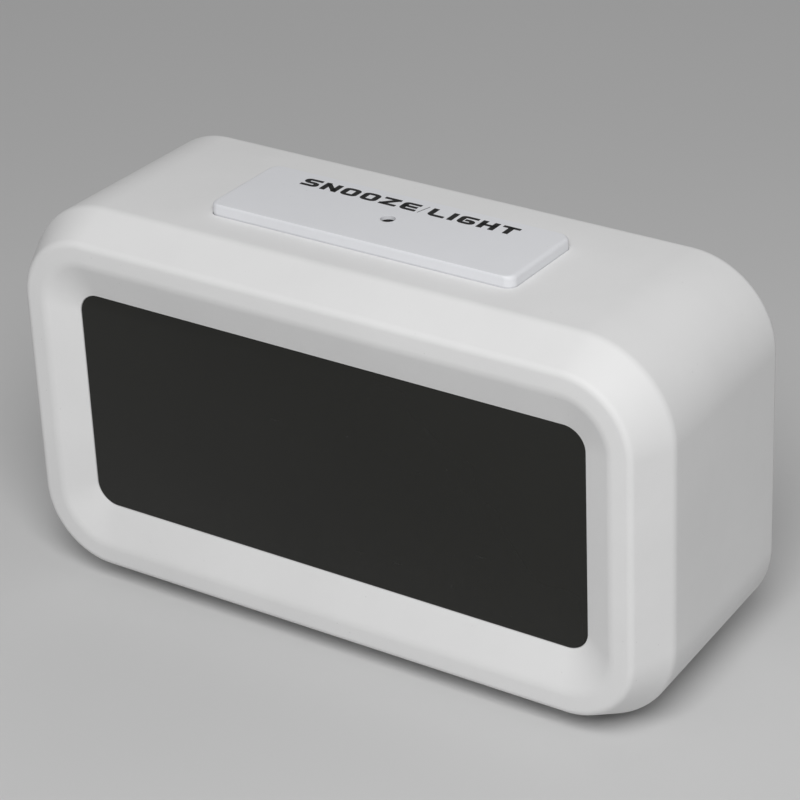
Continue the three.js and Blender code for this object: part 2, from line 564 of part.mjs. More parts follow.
function addRearCover() {
  const plateSize = [CASE.width - 2 * COVER.inset, CASE.height - 2 * COVER.inset, CASE.radius - COVER.inset];
  const panel = plate(...plateSize, [COVER_INNER_Y, COVER_Y], 0, CASE_MID, SEGMENTS.coverCorner);
  const bayBox = block(around(0, 2 * (BAY.halfLength + BAY.wall)),
    [BAY_FLOOR_Y - BAY.wall, COVER_INNER_Y + BITE], around(BAY.z, 2 * (BAY_HALF_HEIGHT + BAY.wall)));
  const pillars = postPlaces.map(([, x, z]) => (
    rodY(COVER.pillarR, [COVER_INNER_Y - COVER.pillarLength, COVER_INNER_Y + BITE], x, z)));
  const bosses = [-1, 1].map((side) => (
    rodY(REAR_BOSS.r, [REAR_BOARD_BACK_Y + GAP, COVER_INNER_Y + BITE], side * REAR_BOSS.x, REAR_BOARD.z)));

  const bayHollow = block(around(0, 2 * BAY.halfLength), [BAY_FLOOR_Y, FAR],
    around(BAY.z, 2 * BAY_HALF_HEIGHT));
  const lidRecess = plate(2 * (LID_HALF_LENGTH + GAP), LID_TOP - LID_BOTTOM + 2 * GAP, LID.radius + GAP,
    [LID_Y - GAP, FAR], 0, BAY.z, SEGMENTS.fineCorner);
  const screwHoles = postPlaces.flatMap(([, x, z]) => [
    rodY(POST.holeR, [0, FAR], x, z),
    rodY(COVER_SCREW.pocketR, [COVER_Y - COVER_SCREW.pocketDepth, FAR], x, z, SEGMENTS.medium),
  ]);
  const bossHoles = [-1, 1].map((side) => (
    rodY(REAR_BOSS.holeR, [0, COVER_INNER_Y - COVER.bossHoleEnd], side * REAR_BOSS.x, REAR_BOARD.z)));
  const keyHoles = rearKeys.map(({ x }) => (
    plate(REAR_KEY.width + 2 * REAR_KEY.clearance, REAR_KEY.height + 2 * REAR_KEY.clearance,
      REAR_KEY.height / 2, [COVER_INNER_Y - BITE, FAR], x, REAR_BOARD.z, SEGMENTS.fineCorner)));
  const sliderSlot = plate(SLIDER.width + SLIDER.travel + 2 * SLIDER.play, SLIDER.height + 2 * SLIDER.play,
    SLIDER.slotRadius, [COVER_INNER_Y - BITE, FAR], SLIDER.x + SLIDER.travel / 2, REAR_BOARD.z);
  const tabSlots = [[-1, BAY.z + CELL.pitch], [1, BAY.z - CELL.pitch]].map(([side, z]) => (
    block(around(side * (CONTACT_X + CONTACT.thick / 2), CONTACT.thick + 2 * GAP), [0, BAY_FLOOR_Y + BITE],
      around(z, 2 * (CONTACT.tabHalf + GAP)))));

  const body = join(panel, bayBox, ...pillars, ...bosses);
  const cover = cut(body, bayHollow, lidRecess, ...lidNotches(), ...screwHoles, ...bossHoles, ...keyHoles,
    sliderSlot, ...grilleHoles(), ...tabSlots);
  add('rear_cover', cover, WHITE_ABS);

  for (const [name, x, z] of postPlaces) {
    const headY = COVER_Y - COVER_SCREW.pocketDepth + GAP;
    add(`rear_cover_screw_${name}`, screw(COVER_SCREW, x, headY, z, -1), SCREW_STEEL);
  }
}

function addBatteryCover() {
  const lid = plate(2 * LID_HALF_LENGTH, LID_TOP - LID_BOTTOM, LID.radius, [LID_Y, COVER_Y], 0, BAY.z,
    SEGMENTS.fineCorner);
  const pieces = [lid];
  // Two tabs reach under the rear cover at the bottom edge.
  for (const side of [-1, 1]) {
    const x = around(side * LID_TAB.x, LID_TAB.width);
    const y = [COVER_Y - LID_TAB.inner, COVER_Y - LID_TAB.outer];
    pieces.push(block(x, y, [LID_BOTTOM - LID_TAB.drop, LID_BOTTOM + LID_TAB.neck]));
    pieces.push(block(x, [y[0], LID_Y + BITE], [LID_BOTTOM + GAP, LID_BOTTOM + LID_TAB.neck]));
  }
  // The latch arm at the top edge, and ribs on the outside to push it by.
  const latchTop = LID_TOP - LID_LATCH.below;
  pieces.push(block(around(0, LID_LATCH.width), [LID_Y - LID_LATCH.depth, LID_Y + BITE],
    [latchTop - LID_LATCH.thick, latchTop]));
  for (let i = 0; i < LID_RIB.count; i += 1) {
    const z = around(LID_TOP - LID_RIB.first - LID_RIB.pitch * i, LID_RIB.width);
    pieces.push(block(around(0, LID_RIB.length), [COVER_Y - BITE, COVER_Y + LID_RIB.proud], z));
  }
  add('battery_cover', join(...pieces), WHITE_ABS);
}

// A round cell along +X, its flat end at x = 0 and the tip of its nub at x = length.
function cellSolid() {
  const { r, length, nubR, nubLength, bevel } = CELL;
  const shoulder = length - nubLength;
  const outline = [[0, 0], [r - bevel, 0], [r, bevel], [r, shoulder - bevel], [r - bevel, shoulder],
    [nubR, shoulder], [nubR, length], [0, length]];
  const profile = outline.map(([x, y]) => new THREE.Vector2(x, y));
  return new THREE.LatheGeometry(profile, SEGMENTS.medium).rotateZ(-Math.PI / 2);
}

// A conical coil along +X from its wide end at x = 0.
class CoilCurve extends THREE.Curve {
  constructor(length) {
    super();
    this.length = length;
  }

  getPoint(t) {
    const turn = t * CONTACT.coils * 2 * Math.PI;
    const r = CONTACT.coilR + (CONTACT.coilTipR - CONTACT.coilR) * t;
    return new THREE.Vector3(t * this.length, r * Math.cos(turn), r * Math.sin(turn));
  }
}

function coil(side, z) {
  const start = CONTACT_X + CONTACT.thick / 2;
  const cellEnd = CELL.length - (CONTACT_X - GAP);
  const length = start - cellEnd - GAP - CONTACT.wireR;
  const geometry = wire(new CoilCurve(length), CONTACT.wireR, CONTACT.stepsPerTurn * CONTACT.coils, 6);
  if (side > 0) geometry.rotateZ(Math.PI);
  return geometry.translate(side * start, CELL_Y, z);
}

// A contact plate at one end of the bay, from zLow to zHigh.
function contactPlate(side, zLow, zHigh) {
  const inner = side * CONTACT_X;
  const outer = side * (CONTACT_X + CONTACT.thick);
  const x = [Math.min(inner, outer), Math.max(inner, outer)];
  return block(x, [BAY_FLOOR_Y + GAP, CELL_Y + CONTACT.half], [zLow, zHigh]);
}

function contactTab(side, z) {
  const inner = side * CONTACT_X;
  const outer = side * (CONTACT_X + CONTACT.thick);
  const x = [Math.min(inner, outer), Math.max(inner, outer)];
  return block(x, [CONTACT.tabEndY, BAY_FLOOR_Y + 2 * BITE], around(z, 2 * CONTACT.tabHalf));
}

function addBattery() {
  const [top, middle, bottom] = [1, 0, -1].map((row) => BAY.z + row * CELL.pitch);
  const tip = CONTACT_X - GAP; // where the nub of a cell ends
  [[top, -1], [middle, 1], [bottom, -1]].forEach(([z, side], i) => {
    const geometry = cellSolid();
    if (side < 0) geometry.rotateZ(Math.PI);
    add(`battery_cell_${i + 1}`, geometry.translate(side * (tip - CELL.length), CELL_Y, z), CELL_JACKET);
  });

  const { half } = CONTACT;
  add('contact_positive', join(contactPlate(-1, top - half, top + half), contactTab(-1, top)), NICKEL);
  add('contact_link_right', join(contactPlate(1, middle - half, top + half), coil(1, top)), NICKEL);
  add('contact_link_left', join(contactPlate(-1, bottom - half, middle + half), coil(-1, middle)), NICKEL);
  add('contact_negative', join(contactPlate(1, bottom - half, bottom + half), contactTab(1, bottom),
    coil(1, bottom)), NICKEL);

  // Leads from the contacts' tabs to the back of the main board.
  for (const [name, side, z, material] of [
    ['battery_lead_positive', -1, top, WIRE_RED],
    ['battery_lead_negative', 1, bottom, WIRE_BLACK],
  ]) {
    const startX = CONTACT_X + CONTACT.thick + GAP;
    const route = [[startX, 7.1, z], [startX + 5, 6, z], [startX + 12, -2, z + 2], [startX + 15, -8, z + 4],
      [startX + 15, MAIN_BOARD_BACK_Y + GAP, z + 4]];
    const curve = new THREE.CatmullRomCurve3(route.map(([x, y, h]) => new THREE.Vector3(side * x, y, h)));
    add(name, wire(curve, WIRE.r, WIRE.steps, WIRE.sides), material);
  }
}

function addRearBoard() {
  const range = [REAR_BOARD.y, REAR_BOARD_BACK_Y];
  const board = plate(REAR_BOARD.width, REAR_BOARD.height, REAR_BOARD.radius, range, 0, REAR_BOARD.z);
  const holes = [-1, 1].map((side) => rodY(BOARD_SCREW.holeR, [0, FAR], side * REAR_BOSS.x, REAR_BOARD.z));
  add('rear_board', cut(board, ...holes), BOARD_GREEN);
  for (const [name, side] of [['rear_board_screw_left', -1], ['rear_board_screw_right', 1]]) {
    add(name, screw(BOARD_SCREW, side * REAR_BOSS.x, REAR_BOARD.y - GAP, REAR_BOARD.z, 1), SCREW_STEEL);
  }

  const partsY = REAR_BOARD_BACK_Y + GAP;
  const flangeBottomY = partsY + SWITCH.plungerUp + GAP;
  for (const { name, x } of rearKeys) {
    const { body, plunger } = switchParts();
    for (const geometry of [body, plunger]) geometry.rotateX(-Math.PI / 2).translate(x, partsY, REAR_BOARD.z);
    add(`${name}_switch`, body, BLACK_PLASTIC);
    add(`${name}_plunger`, plunger, GREY_PLASTIC);
    const cap = plate(REAR_KEY.width, REAR_KEY.height, REAR_KEY.height / 2 - 0.01,
      [flangeBottomY, COVER_Y + REAR_KEY.proud], x, REAR_BOARD.z, SEGMENTS.fineCorner);
    const flange = plate(REAR_KEY.width + 2 * REAR_KEY.flange, REAR_KEY.height + 2 * REAR_KEY.flange,
      REAR_KEY.flangeRadius, [flangeBottomY, flangeBottomY + REAR_KEY.flangeThick], x, REAR_BOARD.z);
    add(`${name}_key`, join(cap, flange), KEY_ABS);
  }

  const canX = SLIDER.x + SLIDER.travel / 2;
  const can = block(around(canX, SLIDE_SWITCH.width), [partsY, partsY + SLIDE_SWITCH.depth],
    around(REAR_BOARD.z, SLIDE_SWITCH.height));
  const canSlot = block(around(canX, SLIDE_SWITCH.slotWidth), [partsY + SLIDE_SWITCH.floor, FAR],
    around(REAR_BOARD.z, SLIDE_SWITCH.slotHeight));
  add('sensor_switch', cut(can, canSlot), SCREW_STEEL);

  const knob = block(around(SLIDER.x, SLIDER.width), [COVER_INNER_Y - SLIDER.root, COVER_Y + SLIDER.proud],
    around(REAR_BOARD.z, SLIDER.height));
  const stem = block(around(SLIDER.x, SLIDER.stemWidth), [partsY + SLIDE_SWITCH.floor + GAP, COVER_INNER_Y],
    around(REAR_BOARD.z, SLIDER.stemHeight));
  add('sensor_slider', join(knob, stem), BLACK_PLASTIC);

  const soundHoleFloor = partsY + BUZZER.length - BUZZER.holeDepth;
  const soundHole = rodY(BUZZER.holeR, [soundHoleFloor, FAR], BUZZER.x, REAR_BOARD.z);
  const buzzer = rodY(BUZZER.r, [partsY, partsY + BUZZER.length], BUZZER.x, REAR_BOARD.z, SEGMENTS.medium);
  add('buzzer', cut(buzzer, soundHole), BLACK_PLASTIC);
}

function addRibbons() {
  const boardY = MAIN_BOARD_BACK_Y + GAP;
  add('board_ribbon_cable', strip([[REAR_BOARD.y - GAP, 57], [6, 56.5], [-3, 49], [boardY, 48]],
    RIBBON.thick, RIBBON.width, 44), RIBBON_GREY);
  const snoozeZ = SNOOZE_BOARD.z - GAP;
  add('snooze_ribbon_cable', strip([[-3, snoozeZ], [-3.4, 60], [-6.5, 56.5], [boardY, 56]],
    RIBBON.thick, RIBBON.width, 12), RIBBON_GREY);
}

addCase();
addDisplay();
addMainBoard();
addSnooze();
addRearCover();
addBatteryCover();
addBattery();
addRearBoard();
addRibbons();

export default clock;
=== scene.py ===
"""The looks of the alarm clock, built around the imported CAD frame."""
import json
import math

import bmesh
import bpy
from mathutils import Matrix, Vector

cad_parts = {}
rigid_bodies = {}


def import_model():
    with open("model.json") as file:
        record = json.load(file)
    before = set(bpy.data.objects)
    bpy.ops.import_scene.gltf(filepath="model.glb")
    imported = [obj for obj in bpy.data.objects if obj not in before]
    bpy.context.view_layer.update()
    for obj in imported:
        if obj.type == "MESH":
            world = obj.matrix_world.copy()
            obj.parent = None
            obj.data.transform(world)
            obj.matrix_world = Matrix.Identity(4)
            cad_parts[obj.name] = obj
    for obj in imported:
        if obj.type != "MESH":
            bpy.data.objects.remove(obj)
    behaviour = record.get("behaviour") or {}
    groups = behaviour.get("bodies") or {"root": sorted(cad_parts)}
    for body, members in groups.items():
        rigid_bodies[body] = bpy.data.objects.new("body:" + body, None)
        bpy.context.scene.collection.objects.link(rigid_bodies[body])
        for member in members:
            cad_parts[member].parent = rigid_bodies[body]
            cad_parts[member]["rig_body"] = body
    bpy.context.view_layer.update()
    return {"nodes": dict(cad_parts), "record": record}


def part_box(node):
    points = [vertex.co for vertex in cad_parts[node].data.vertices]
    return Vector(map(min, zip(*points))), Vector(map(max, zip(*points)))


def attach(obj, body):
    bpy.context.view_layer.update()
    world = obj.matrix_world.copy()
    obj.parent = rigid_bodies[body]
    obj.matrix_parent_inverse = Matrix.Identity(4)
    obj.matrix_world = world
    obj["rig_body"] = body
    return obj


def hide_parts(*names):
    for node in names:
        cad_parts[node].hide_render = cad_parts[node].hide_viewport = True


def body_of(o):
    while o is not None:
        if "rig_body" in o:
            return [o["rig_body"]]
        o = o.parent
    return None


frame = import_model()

# ---- Sizes, in millimetres, in the CAD frame ----

MM = 0.001
CASE = dict(width=135.0, height=75.2, depth=47.0, radius=17.8, lift=0.6, draft=1.15)
FRONT_Y = -CASE["depth"] / 2
BACK_Y = CASE["depth"] / 2
CHAMFER = dict(depth=8.0, inset=4.15, radius=13.5)
RIM = dict(width=4.05, radius=9.9)
WINDOW = dict(width=106.4, height=44.2, radius=4.25, recess=2.9, lip=0.9)
LENS_POCKET = dict(width=109.2, height=47.0, radius=5.9, depth=2.6, border=1.6)
WALL = 2.2
BACK_EDGE = 1.3
WIDEST_Y = FRONT_Y + CHAMFER["depth"]
CASE_TOP = CASE["lift"] + CASE["height"]
CASE_MID = CASE["lift"] + CASE["height"] / 2
SLOPE = CASE["draft"] / (BACK_Y - BACK_EDGE - WIDEST_Y)
KEY = dict(length=63.5, depth=20.4, radius=1.9, proud=2.15, y=WIDEST_Y + 17.8, hole=1.38, skin=0.75)
KEY_TOP = CASE_TOP - SLOPE * (KEY["y"] - WIDEST_Y) + KEY["proud"]
KEY_FLANGE = dict(width=1.5, bottom=71.2, top=72.4)
KEY_INSIDE = dict(wall=1.8, radius=1.2, top=75.2)
SLOT = dict(side=0.05, back=0.05, front=0.15, deep=6.0, flare=0.04)      # gaps round the key, and its depth

# How far each edge of the case is rounded.
ROUND = dict(mouth=0.35, back=1.4, side=0.8, chamfer=1.0, rim=0.9, window=0.15)

POST = dict(radius=3.3, front=-6.0, back=17.6, rib=1.6, hole=1.5)        # for the rear cover's screws
BOSS = dict(radius=2.5, clear=0.3)                                       # for the boards' screws
FOOT_RECESS = dict(radius=4.8, clear=0.3)

CORNER_STEPS = 20
FILLET_STEPS = 7


# ---- Mesh tools ----

def new_object(name, mesh):
    made = bpy.data.objects.new(name, mesh)
    bpy.context.scene.collection.objects.link(made)
    return made


def outline(width, height, radius, steps=CORNER_STEPS):
    """A rounded rectangle, anticlockwise, as pairs about its middle."""
    x, y = width / 2 - radius, height / 2 - radius
    points = []
    for quarter, (cx, cy) in enumerate([(x, y), (-x, y), (-x, -y), (x, -y)]):
        for i in range(steps + 1):
            turn = (quarter + i / steps) * math.pi / 2
            points.append((cx + radius * math.cos(turn), cy + radius * math.sin(turn)))
    return points


def with_fillets(sections, closed):
    """Rounds each section that states a fillet: (width, height, radius, level, fillet)."""
    count, result = len(sections), []
    for i, here in enumerate(sections):
        fillet = here[4]
        if not fillet or (not closed and i in (0, count - 1)):
            result.append(here[:4])
            continue
        ends = []
        for other in (sections[i - 1], sections[(i + 1) % count]):
            length = math.hypot((other[0] - here[0]) / 2, other[3] - here[3])
            share = min(fillet / length, 0.49)
            ends.append([a + (b - a) * share for a, b in zip(here[:4], other[:4])])
        for k in range(FILLET_STEPS + 1):
            t = k / FILLET_STEPS
            weights = ((1 - t) ** 2, 2 * t * (1 - t), t * t)
            rows = (ends[0], here[:4], ends[1])
            result.append(tuple(sum(w * row[n] for w, row in zip(weights, rows)) for n in range(4)))
    return result


def loft(name, sections, centre, axis, closed=True, tilt=None, steps=CORNER_STEPS):
    """A skin through rounded rectangles along Y or Z. Closed joins the last section to the first."""
    rings = []
    for width, height, radius, level in with_fillets(sections, closed):
        ring = []
        for u, v in outline(width, height, radius, steps):
            if axis == "Y":
                ring.append(Vector((centre[0] + u, level, centre[1] + v)))
            else:
                lower = tilt(centre[1] + v, level) if tilt else 0.0
                ring.append(Vector((centre[0] + u, centre[1] + v, level + lower)))
        rings.append(ring)
    shape = bmesh.new()
    verts = [[shape.verts.new(p * MM) for p in ring] for ring in rings]
    size = len(verts[0])
    pairs = list(zip(verts, verts[1:] + verts[:1])) if closed else list(zip(verts, verts[1:]))
    for low, high in pairs:
        for a in range(size):
            b = (a + 1) % size
            shape.faces.new((low[a], low[b], high[b], high[a]))
    if not closed:
        shape.faces.new(verts[0])
        shape.faces.new(list(reversed(verts[-1])))
    bmesh.ops.recalc_face_normals(shape, faces=shape.faces)
    mesh = bpy.data.meshes.new(name)
    shape.to_mesh(mesh)
    shape.free()
    return new_object(name, mesh)


def turned(name, profile, centre, axis, steps=48):
    """A solid of revolution about a line along Y or Z. The profile is (radius, level) pairs."""
    sections = [(2 * r, 2 * r, r, level, 0) for r, level in profile]
    return loft(name, sections, centre, axis, closed=False, steps=steps // 4)


def brick(name, xs, ys, zs):
    """A plain block between two corners, to join to a piece or to cut it with."""
    shape = bmesh.new()
    bmesh.ops.create_cube(shape, size=1.0)
    for v in shape.verts:
        v.co = [((low + high) / 2 + c * (high - low)) * MM for c, (low, high) in zip(v.co, (xs, ys, zs))]
    mesh = bpy.data.meshes.new(name)
    shape.to_mesh(mesh)
    shape.free()
    return new_object(name, mesh)


def rounded_end(width, height, radius, end, edge, outward=1):
    """Sections that close a form at `end` with a quarter-round edge."""
    rows = []
    for k in range(5):
        turn = k / 4 * math.pi / 2
        inset = edge * (1 - math.cos(turn))
        level = end - outward * edge * (1 - math.sin(turn))
        rows.append((width - 2 * inset, height - 2 * inset, radius - inset, level, 0))
    return rows


def mouth(name, width, height, radius, start, surface, centre, flare=0.25):
    """A cutter for an opening through a wall, with a small chamfer at the surface."""
    wide = (width + 2 * flare, height + 2 * flare, radius + flare)
    rows = [(width, height, radius, start, 0), (width, height, radius, surface - flare, 0),
            (*wide, surface, 0), (*wide, surface + 2, 0)]
    return loft(name, rows, centre, "Y", closed=False, steps=10)


def combine(target, operation, *others):
    """Cuts or joins other solids into target, and removes them."""
    for other in others:
        change = target.modifiers.new(other.name, "BOOLEAN")
        change.operation = operation
        change.object = other
        change.solver = "EXACT"
    bake_modifiers(target)
    for other in others:
        bpy.data.objects.remove(other)


def bake_modifiers(target):
    graph = bpy.context.evaluated_depsgraph_get()
    graph.update()
    mesh = bpy.data.meshes.new_from_object(target.evaluated_get(graph))
    target.modifiers.clear()
    target.data = mesh


def smooth(target, angle=32):
    for face in target.data.polygons:
        face.use_smooth = True
    target.data.set_sharp_from_angle(angle=math.radians(angle))


def weighted(target):
    change = target.modifiers.new("normals", "WEIGHTED_NORMAL")
    change.keep_sharp = True


def finish_piece(piece, body, slot, material, *nodes):
    piece.data.materials.clear()
    piece.data.materials.append(material)
    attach(piece, body)
    if nodes:
        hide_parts(*nodes)


# ---- Materials ----

class Nodes:
    """A short way to write a material's node tree."""

    def __init__(self, name):
        self.material = bpy.data.materials.new(name)
        self.material.use_nodes = True
        self.tree = self.material.node_tree
        self.shader = self.tree.nodes["Principled BSDF"]
        self.place = self.add("ShaderNodeTexCoord").outputs["Object"]

    def add(self, kind, **values):
        node = self.tree.nodes.new(kind)
        for key, value in values.items():
            setattr(node, key, value)
        return node

    def link(self, source, target):
        self.tree.links.new(source, target)

    def noise(self, per_mm, detail=3.0, roughness=0.5, stretch=None):
        source = self.place
        if stretch:
            mapping = self.add("ShaderNodeMapping")
            mapping.inputs["Scale"].default_value = stretch
            self.link(source, mapping.inputs["Vector"])
            source = mapping.outputs["Vector"]
        node = self.add("ShaderNodeTexNoise")
        node.inputs["Scale"].default_value = per_mm / MM
        node.inputs["Detail"].default_value = detail
        node.inputs["Roughness"].default_value = roughness
        self.link(source, node.inputs["Vector"])
        return node.outputs["Fac"]

    def specks(self, per_mm, size, seed):
        """1 inside sparse round specks, 0 elsewhere. Size is a share of the cell."""
        mapping = self.add("ShaderNodeMapping")
        mapping.inputs["Location"].default_value = (seed, seed * 0.7, seed * 1.3)
        self.link(self.place, mapping.inputs["Vector"])
        cells = self.add("ShaderNodeTexVoronoi")
        cells.inputs["Scale"].default_value = per_mm / MM
        self.link(mapping.outputs["Vector"], cells.inputs["Vector"])
        return self.ramp(cells.outputs["Distance"], size, size * 0.6)

    def ramp(self, source, low, high, to_low=0.0, to_high=1.0):
        node = self.add("ShaderNodeMapRange")
        node.inputs["From Min"].default_value = low
        node.inputs["From Max"].default_value = high
        node.inputs["To Min"].default_value = to_low
        node.inputs["To Max"].default_value = to_high
        self.link(source, node.inputs["Value"])
        return node.outputs["Result"]

    def dot(self, direction):
        """How far along a direction the surface lies, in metres."""
        node = self.add("ShaderNodeVectorMath", operation="DOT_PRODUCT")
        node.inputs[1].default_value = direction
        self.link(self.place, node.inputs[0])
        return node.outputs["Value"]

    def times(self, a, b):
        node = self.add("ShaderNodeMath", operation="MULTIPLY")
        self.link(a, node.inputs[0])
        if hasattr(b, "is_linked"):
            self.link(b, node.inputs[1])
        else:
            node.inputs[1].default_value = b
        return node.outputs[0]

    def mix(self, factor, first, second):
        """A colour between two colours, each given as numbers or as a socket."""
        node = self.add("ShaderNodeMix", data_type="RGBA")
        self.link(factor, node.inputs["Factor"])
        for socket, colour in ((node.inputs[6], first), (node.inputs[7], second)):
            if hasattr(colour, "is_linked"):
                self.link(colour, socket)
            else:
                socket.default_value = (*colour, 1.0)
        return node.outputs[2]

    def colour(self, source):
        self.link(source, self.shader.inputs["Base Color"])

    def rough(self, source):
        self.link(source, self.shader.inputs["Roughness"])

    def bump(self, layers):
        """Layers of (height socket, depth in millimetres), stacked."""
        normal = None
        for height, depth in layers:
            node = self.add("ShaderNodeBump")
            node.inputs["Strength"].default_value = 1.0
            node.inputs["Distance"].default_value = depth * MM
            self.link(height, node.inputs["Height"])
            if normal:
                self.link(normal, node.inputs["Normal"])
            normal = node.outputs["Normal"]
        self.link(normal, self.shader.inputs["Normal"])

    def set(self, **values):
        for key, value in values.items():
            self.shader.inputs[key.replace("_", " ")].default_value = value


def moulded(name, base, shade, low_rough, high_rough, grain=0.006, grain_per_mm=3.2, foot=0.0):
    """Moulded plastic: a fine spark texture, faint clouding, and a few rubbed and dusty places. Foot is
    how dark a painted shade line is, hair-thin, where the piece comes up through the top of the case."""
    m = Nodes(name)
    cloud = m.ramp(m.noise(0.035, 4.0, 0.6), 0.35, 0.65)
    clouded = m.mix(cloud, shade, base)
    dust = m.times(m.specks(0.55, 0.075, 3.1), m.ramp(m.noise(0.12, 2.0), 0.52, 0.62))
    dusty = m.mix(m.times(dust, 0.35), clouded, [c * 0.55 for c in base])
    # Painted shade: the piece is darkened below a level a hair above the case's sloping top, standing in for
    # the shade in the gap round its foot.
    if foot:
        surface = CASE_TOP + SLOPE * WIDEST_Y
        line = m.ramp(m.dot((0, SLOPE, 1)), (surface + 0.12) * MM, (surface + 0.3) * MM, foot, 0.0)
        dusty = m.mix(line, dusty, [c * 0.3 for c in base])
    m.colour(dusty)
    m.rough(m.ramp(m.noise(0.09, 5.0, 0.65), 0.3, 0.7, low_rough, high_rough))
    m.bump([(m.noise(grain_per_mm, 2.0, 0.6), grain), (m.noise(0.02, 1.0), 0.05)])
    m.set(Specular_IOR_Level=0.36)
    return m.material


def smoked_lens():
    """Polished smoked acrylic: nearly black, with dust specks and hairline scratches."""
    m = Nodes("smoked_lens")
    base, clouded = (0.0106, 0.0107, 0.0087), (0.0124, 0.0125, 0.0102)
    tint = m.mix(m.ramp(m.noise(0.02, 3.0), 0.35, 0.65), base, clouded)
    dust = m.times(m.specks(0.3, 0.028, 1.7), m.ramp(m.noise(0.07, 2.0), 0.5, 0.6))
    hairs = m.noise(0.5, 1.0, 0.5, stretch=(0.12, 1.0, 1.9))
    lines = m.times(m.ramp(hairs, 0.735, 0.745), m.ramp(m.noise(0.05, 2.0), 0.55, 0.62))
    dusty = m.mix(m.times(dust, 0.6), tint, (0.16, 0.16, 0.155))
    m.colour(m.mix(m.times(lines, 0.1), dusty, (0.09, 0.09, 0.088)))
    m.rough(m.ramp(m.noise(0.06, 5.0, 0.6), 0.3, 0.7, 0.09, 0.16))
    m.bump([(m.noise(0.015, 1.0), 0.03)])
    m.set(Specular_IOR_Level=0.32)
    return m.material


def metal(name, bright, dull, low_rough, high_rough, stretch=(1.0, 1.0, 1.0)):
    """Plated or bare metal with rolling lines, and duller where it has been handled."""
    m = Nodes(name)
    lines = m.noise(1.5, 3.0, 0.6, stretch)
    m.colour(m.mix(m.ramp(m.noise(0.3, 4.0), 0.35, 0.7), bright, dull))
    m.rough(m.ramp(lines, 0.3, 0.7, low_rough, high_rough))
    m.bump([(lines, 0.004), (m.noise(0.25, 2.0), 0.01)])
    m.set(Metallic=1.0)
    return m.material


def glassy(name, clear, clouded, transmission):
    """Glass or clear acrylic with a faint haze."""
    m = Nodes(name)
    m.colour(m.mix(m.noise(0.05, 3.0), clear, clouded))
    m.rough(m.ramp(m.noise(0.1, 4.0), 0.3, 0.7, 0.06, 0.14))
    m.bump([(m.noise(0.05, 1.0), 0.01)])
    m.set(Transmission_Weight=transmission, IOR=1.49)
    return m.material


def striped(name, first, second, pitch, roughness, depth):
    """Even stripes across X: the cores of a ribbon cable, or the layers of an elastomer strip."""
    m = Nodes(name)
    wave = m.add("ShaderNodeTexWave", wave_type="BANDS", bands_direction="X", wave_profile="SIN")
    wave.inputs["Scale"].default_value = math.pi / 10 / (pitch * MM)
    m.link(m.place, wave.inputs["Vector"])
    bands = wave.outputs["Fac"]
    m.colour(m.mix(bands, first, second))
    m.rough(m.ramp(m.noise(0.4, 3.0), 0.3, 0.7, roughness, roughness + 0.15))
    m.bump([(bands, depth), (m.noise(2.0, 2.0), 0.004)])
    return m.material


def board_green():
    """Green solder mask: copper traces show through it, with tinned pads and a fine glass weave."""
    m = Nodes("board_green")
    turned_up = m.add("ShaderNodeMapping")
    turned_up.inputs["Rotation"].default_value = (math.pi / 2, 0, 0)
    m.link(m.place, turned_up.inputs["Vector"])
    bricks = m.add("ShaderNodeTexBrick")
    bricks.inputs["Scale"].default_value = 0.22 / MM
    bricks.inputs["Mortar Size"].default_value = 0.035
    m.link(turned_up.outputs["Vector"], bricks.inputs["Vector"])
    traces = bricks.outputs["Fac"]
    mask = m.mix(m.noise(0.08, 3.0), (0.012, 0.10, 0.035), (0.018, 0.13, 0.045))
    traced = m.mix(traces, mask, (0.035, 0.22, 0.07))
    pads = m.specks(0.22, 0.2, 2.3)
    m.colour(m.mix(pads, traced, (0.55, 0.55, 0.52)))
    m.rough(m.ramp(m.noise(0.6, 3.0), 0.3, 0.7, 0.22, 0.4))
    m.bump([(traces, 0.03), (pads, 0.06), (m.noise(2.4, 1.0), 0.006)])
    return m.material


def insulation(name, base, shade):
    """Soft vinyl wire insulation."""
    m = Nodes(name)
    m.colour(m.mix(m.noise(0.2, 3.0), base, shade))
    m.rough(m.ramp(m.noise(0.8, 3.0), 0.3, 0.7, 0.38, 0.55))
    m.bump([(m.noise(1.2, 2.0), 0.01)])
    return m.material


def light_sensor():
    """A resin-coated photocell: a tan face with a dark red winding track."""
    m = Nodes("sensor_ceramic")
    wave = m.add("ShaderNodeTexWave", wave_type="BANDS", bands_direction="X", wave_profile="SIN")
    wave.inputs["Scale"].default_value = math.pi / 10 / (0.9 * MM)
    wave.inputs["Distortion"].default_value = 0.6
    m.link(m.place, wave.inputs["Vector"])
    track = m.ramp(wave.outputs["Fac"], 0.42, 0.5)
    m.colour(m.mix(track, (0.20, 0.045, 0.02), (0.42, 0.27, 0.13)))
    m.rough(m.ramp(m.noise(0.8, 2.0), 0.3, 0.7, 0.12, 0.25))
    m.bump([(track, 0.02)])
    m.set(Coat_Weight=0.6, Coat_Roughness=0.08)
    return m.material


def foil_print(name, base, flake, low_rough, high_rough):
    """Printed foil round a cell, with a fine metallic flake."""
    m = Nodes(name)
    sparks = m.ramp(m.noise(6.0, 2.0, 0.7), 0.5, 0.62)
    m.colour(m.mix(m.times(sparks, 0.35), base, flake))
    m.rough(m.ramp(m.noise(0.15, 4.0), 0.3, 0.7, low_rough, high_rough))
    m.bump([(m.noise(0.2, 2.0), 0.012)])
    m.set(Metallic=0.55)
    return m.material


def ink(name, base, shade):
    """Pad-printed ink, a little uneven."""
    m = Nodes(name)
    m.colour(m.mix(m.ramp(m.noise(1.4, 4.0, 0.6), 0.35, 0.7), base, shade))
    m.rough(m.ramp(m.noise(0.8, 3.0), 0.3, 0.7, 0.4, 0.55))
    m.bump([(m.noise(3.0, 2.0), 0.003)])
    return m.material


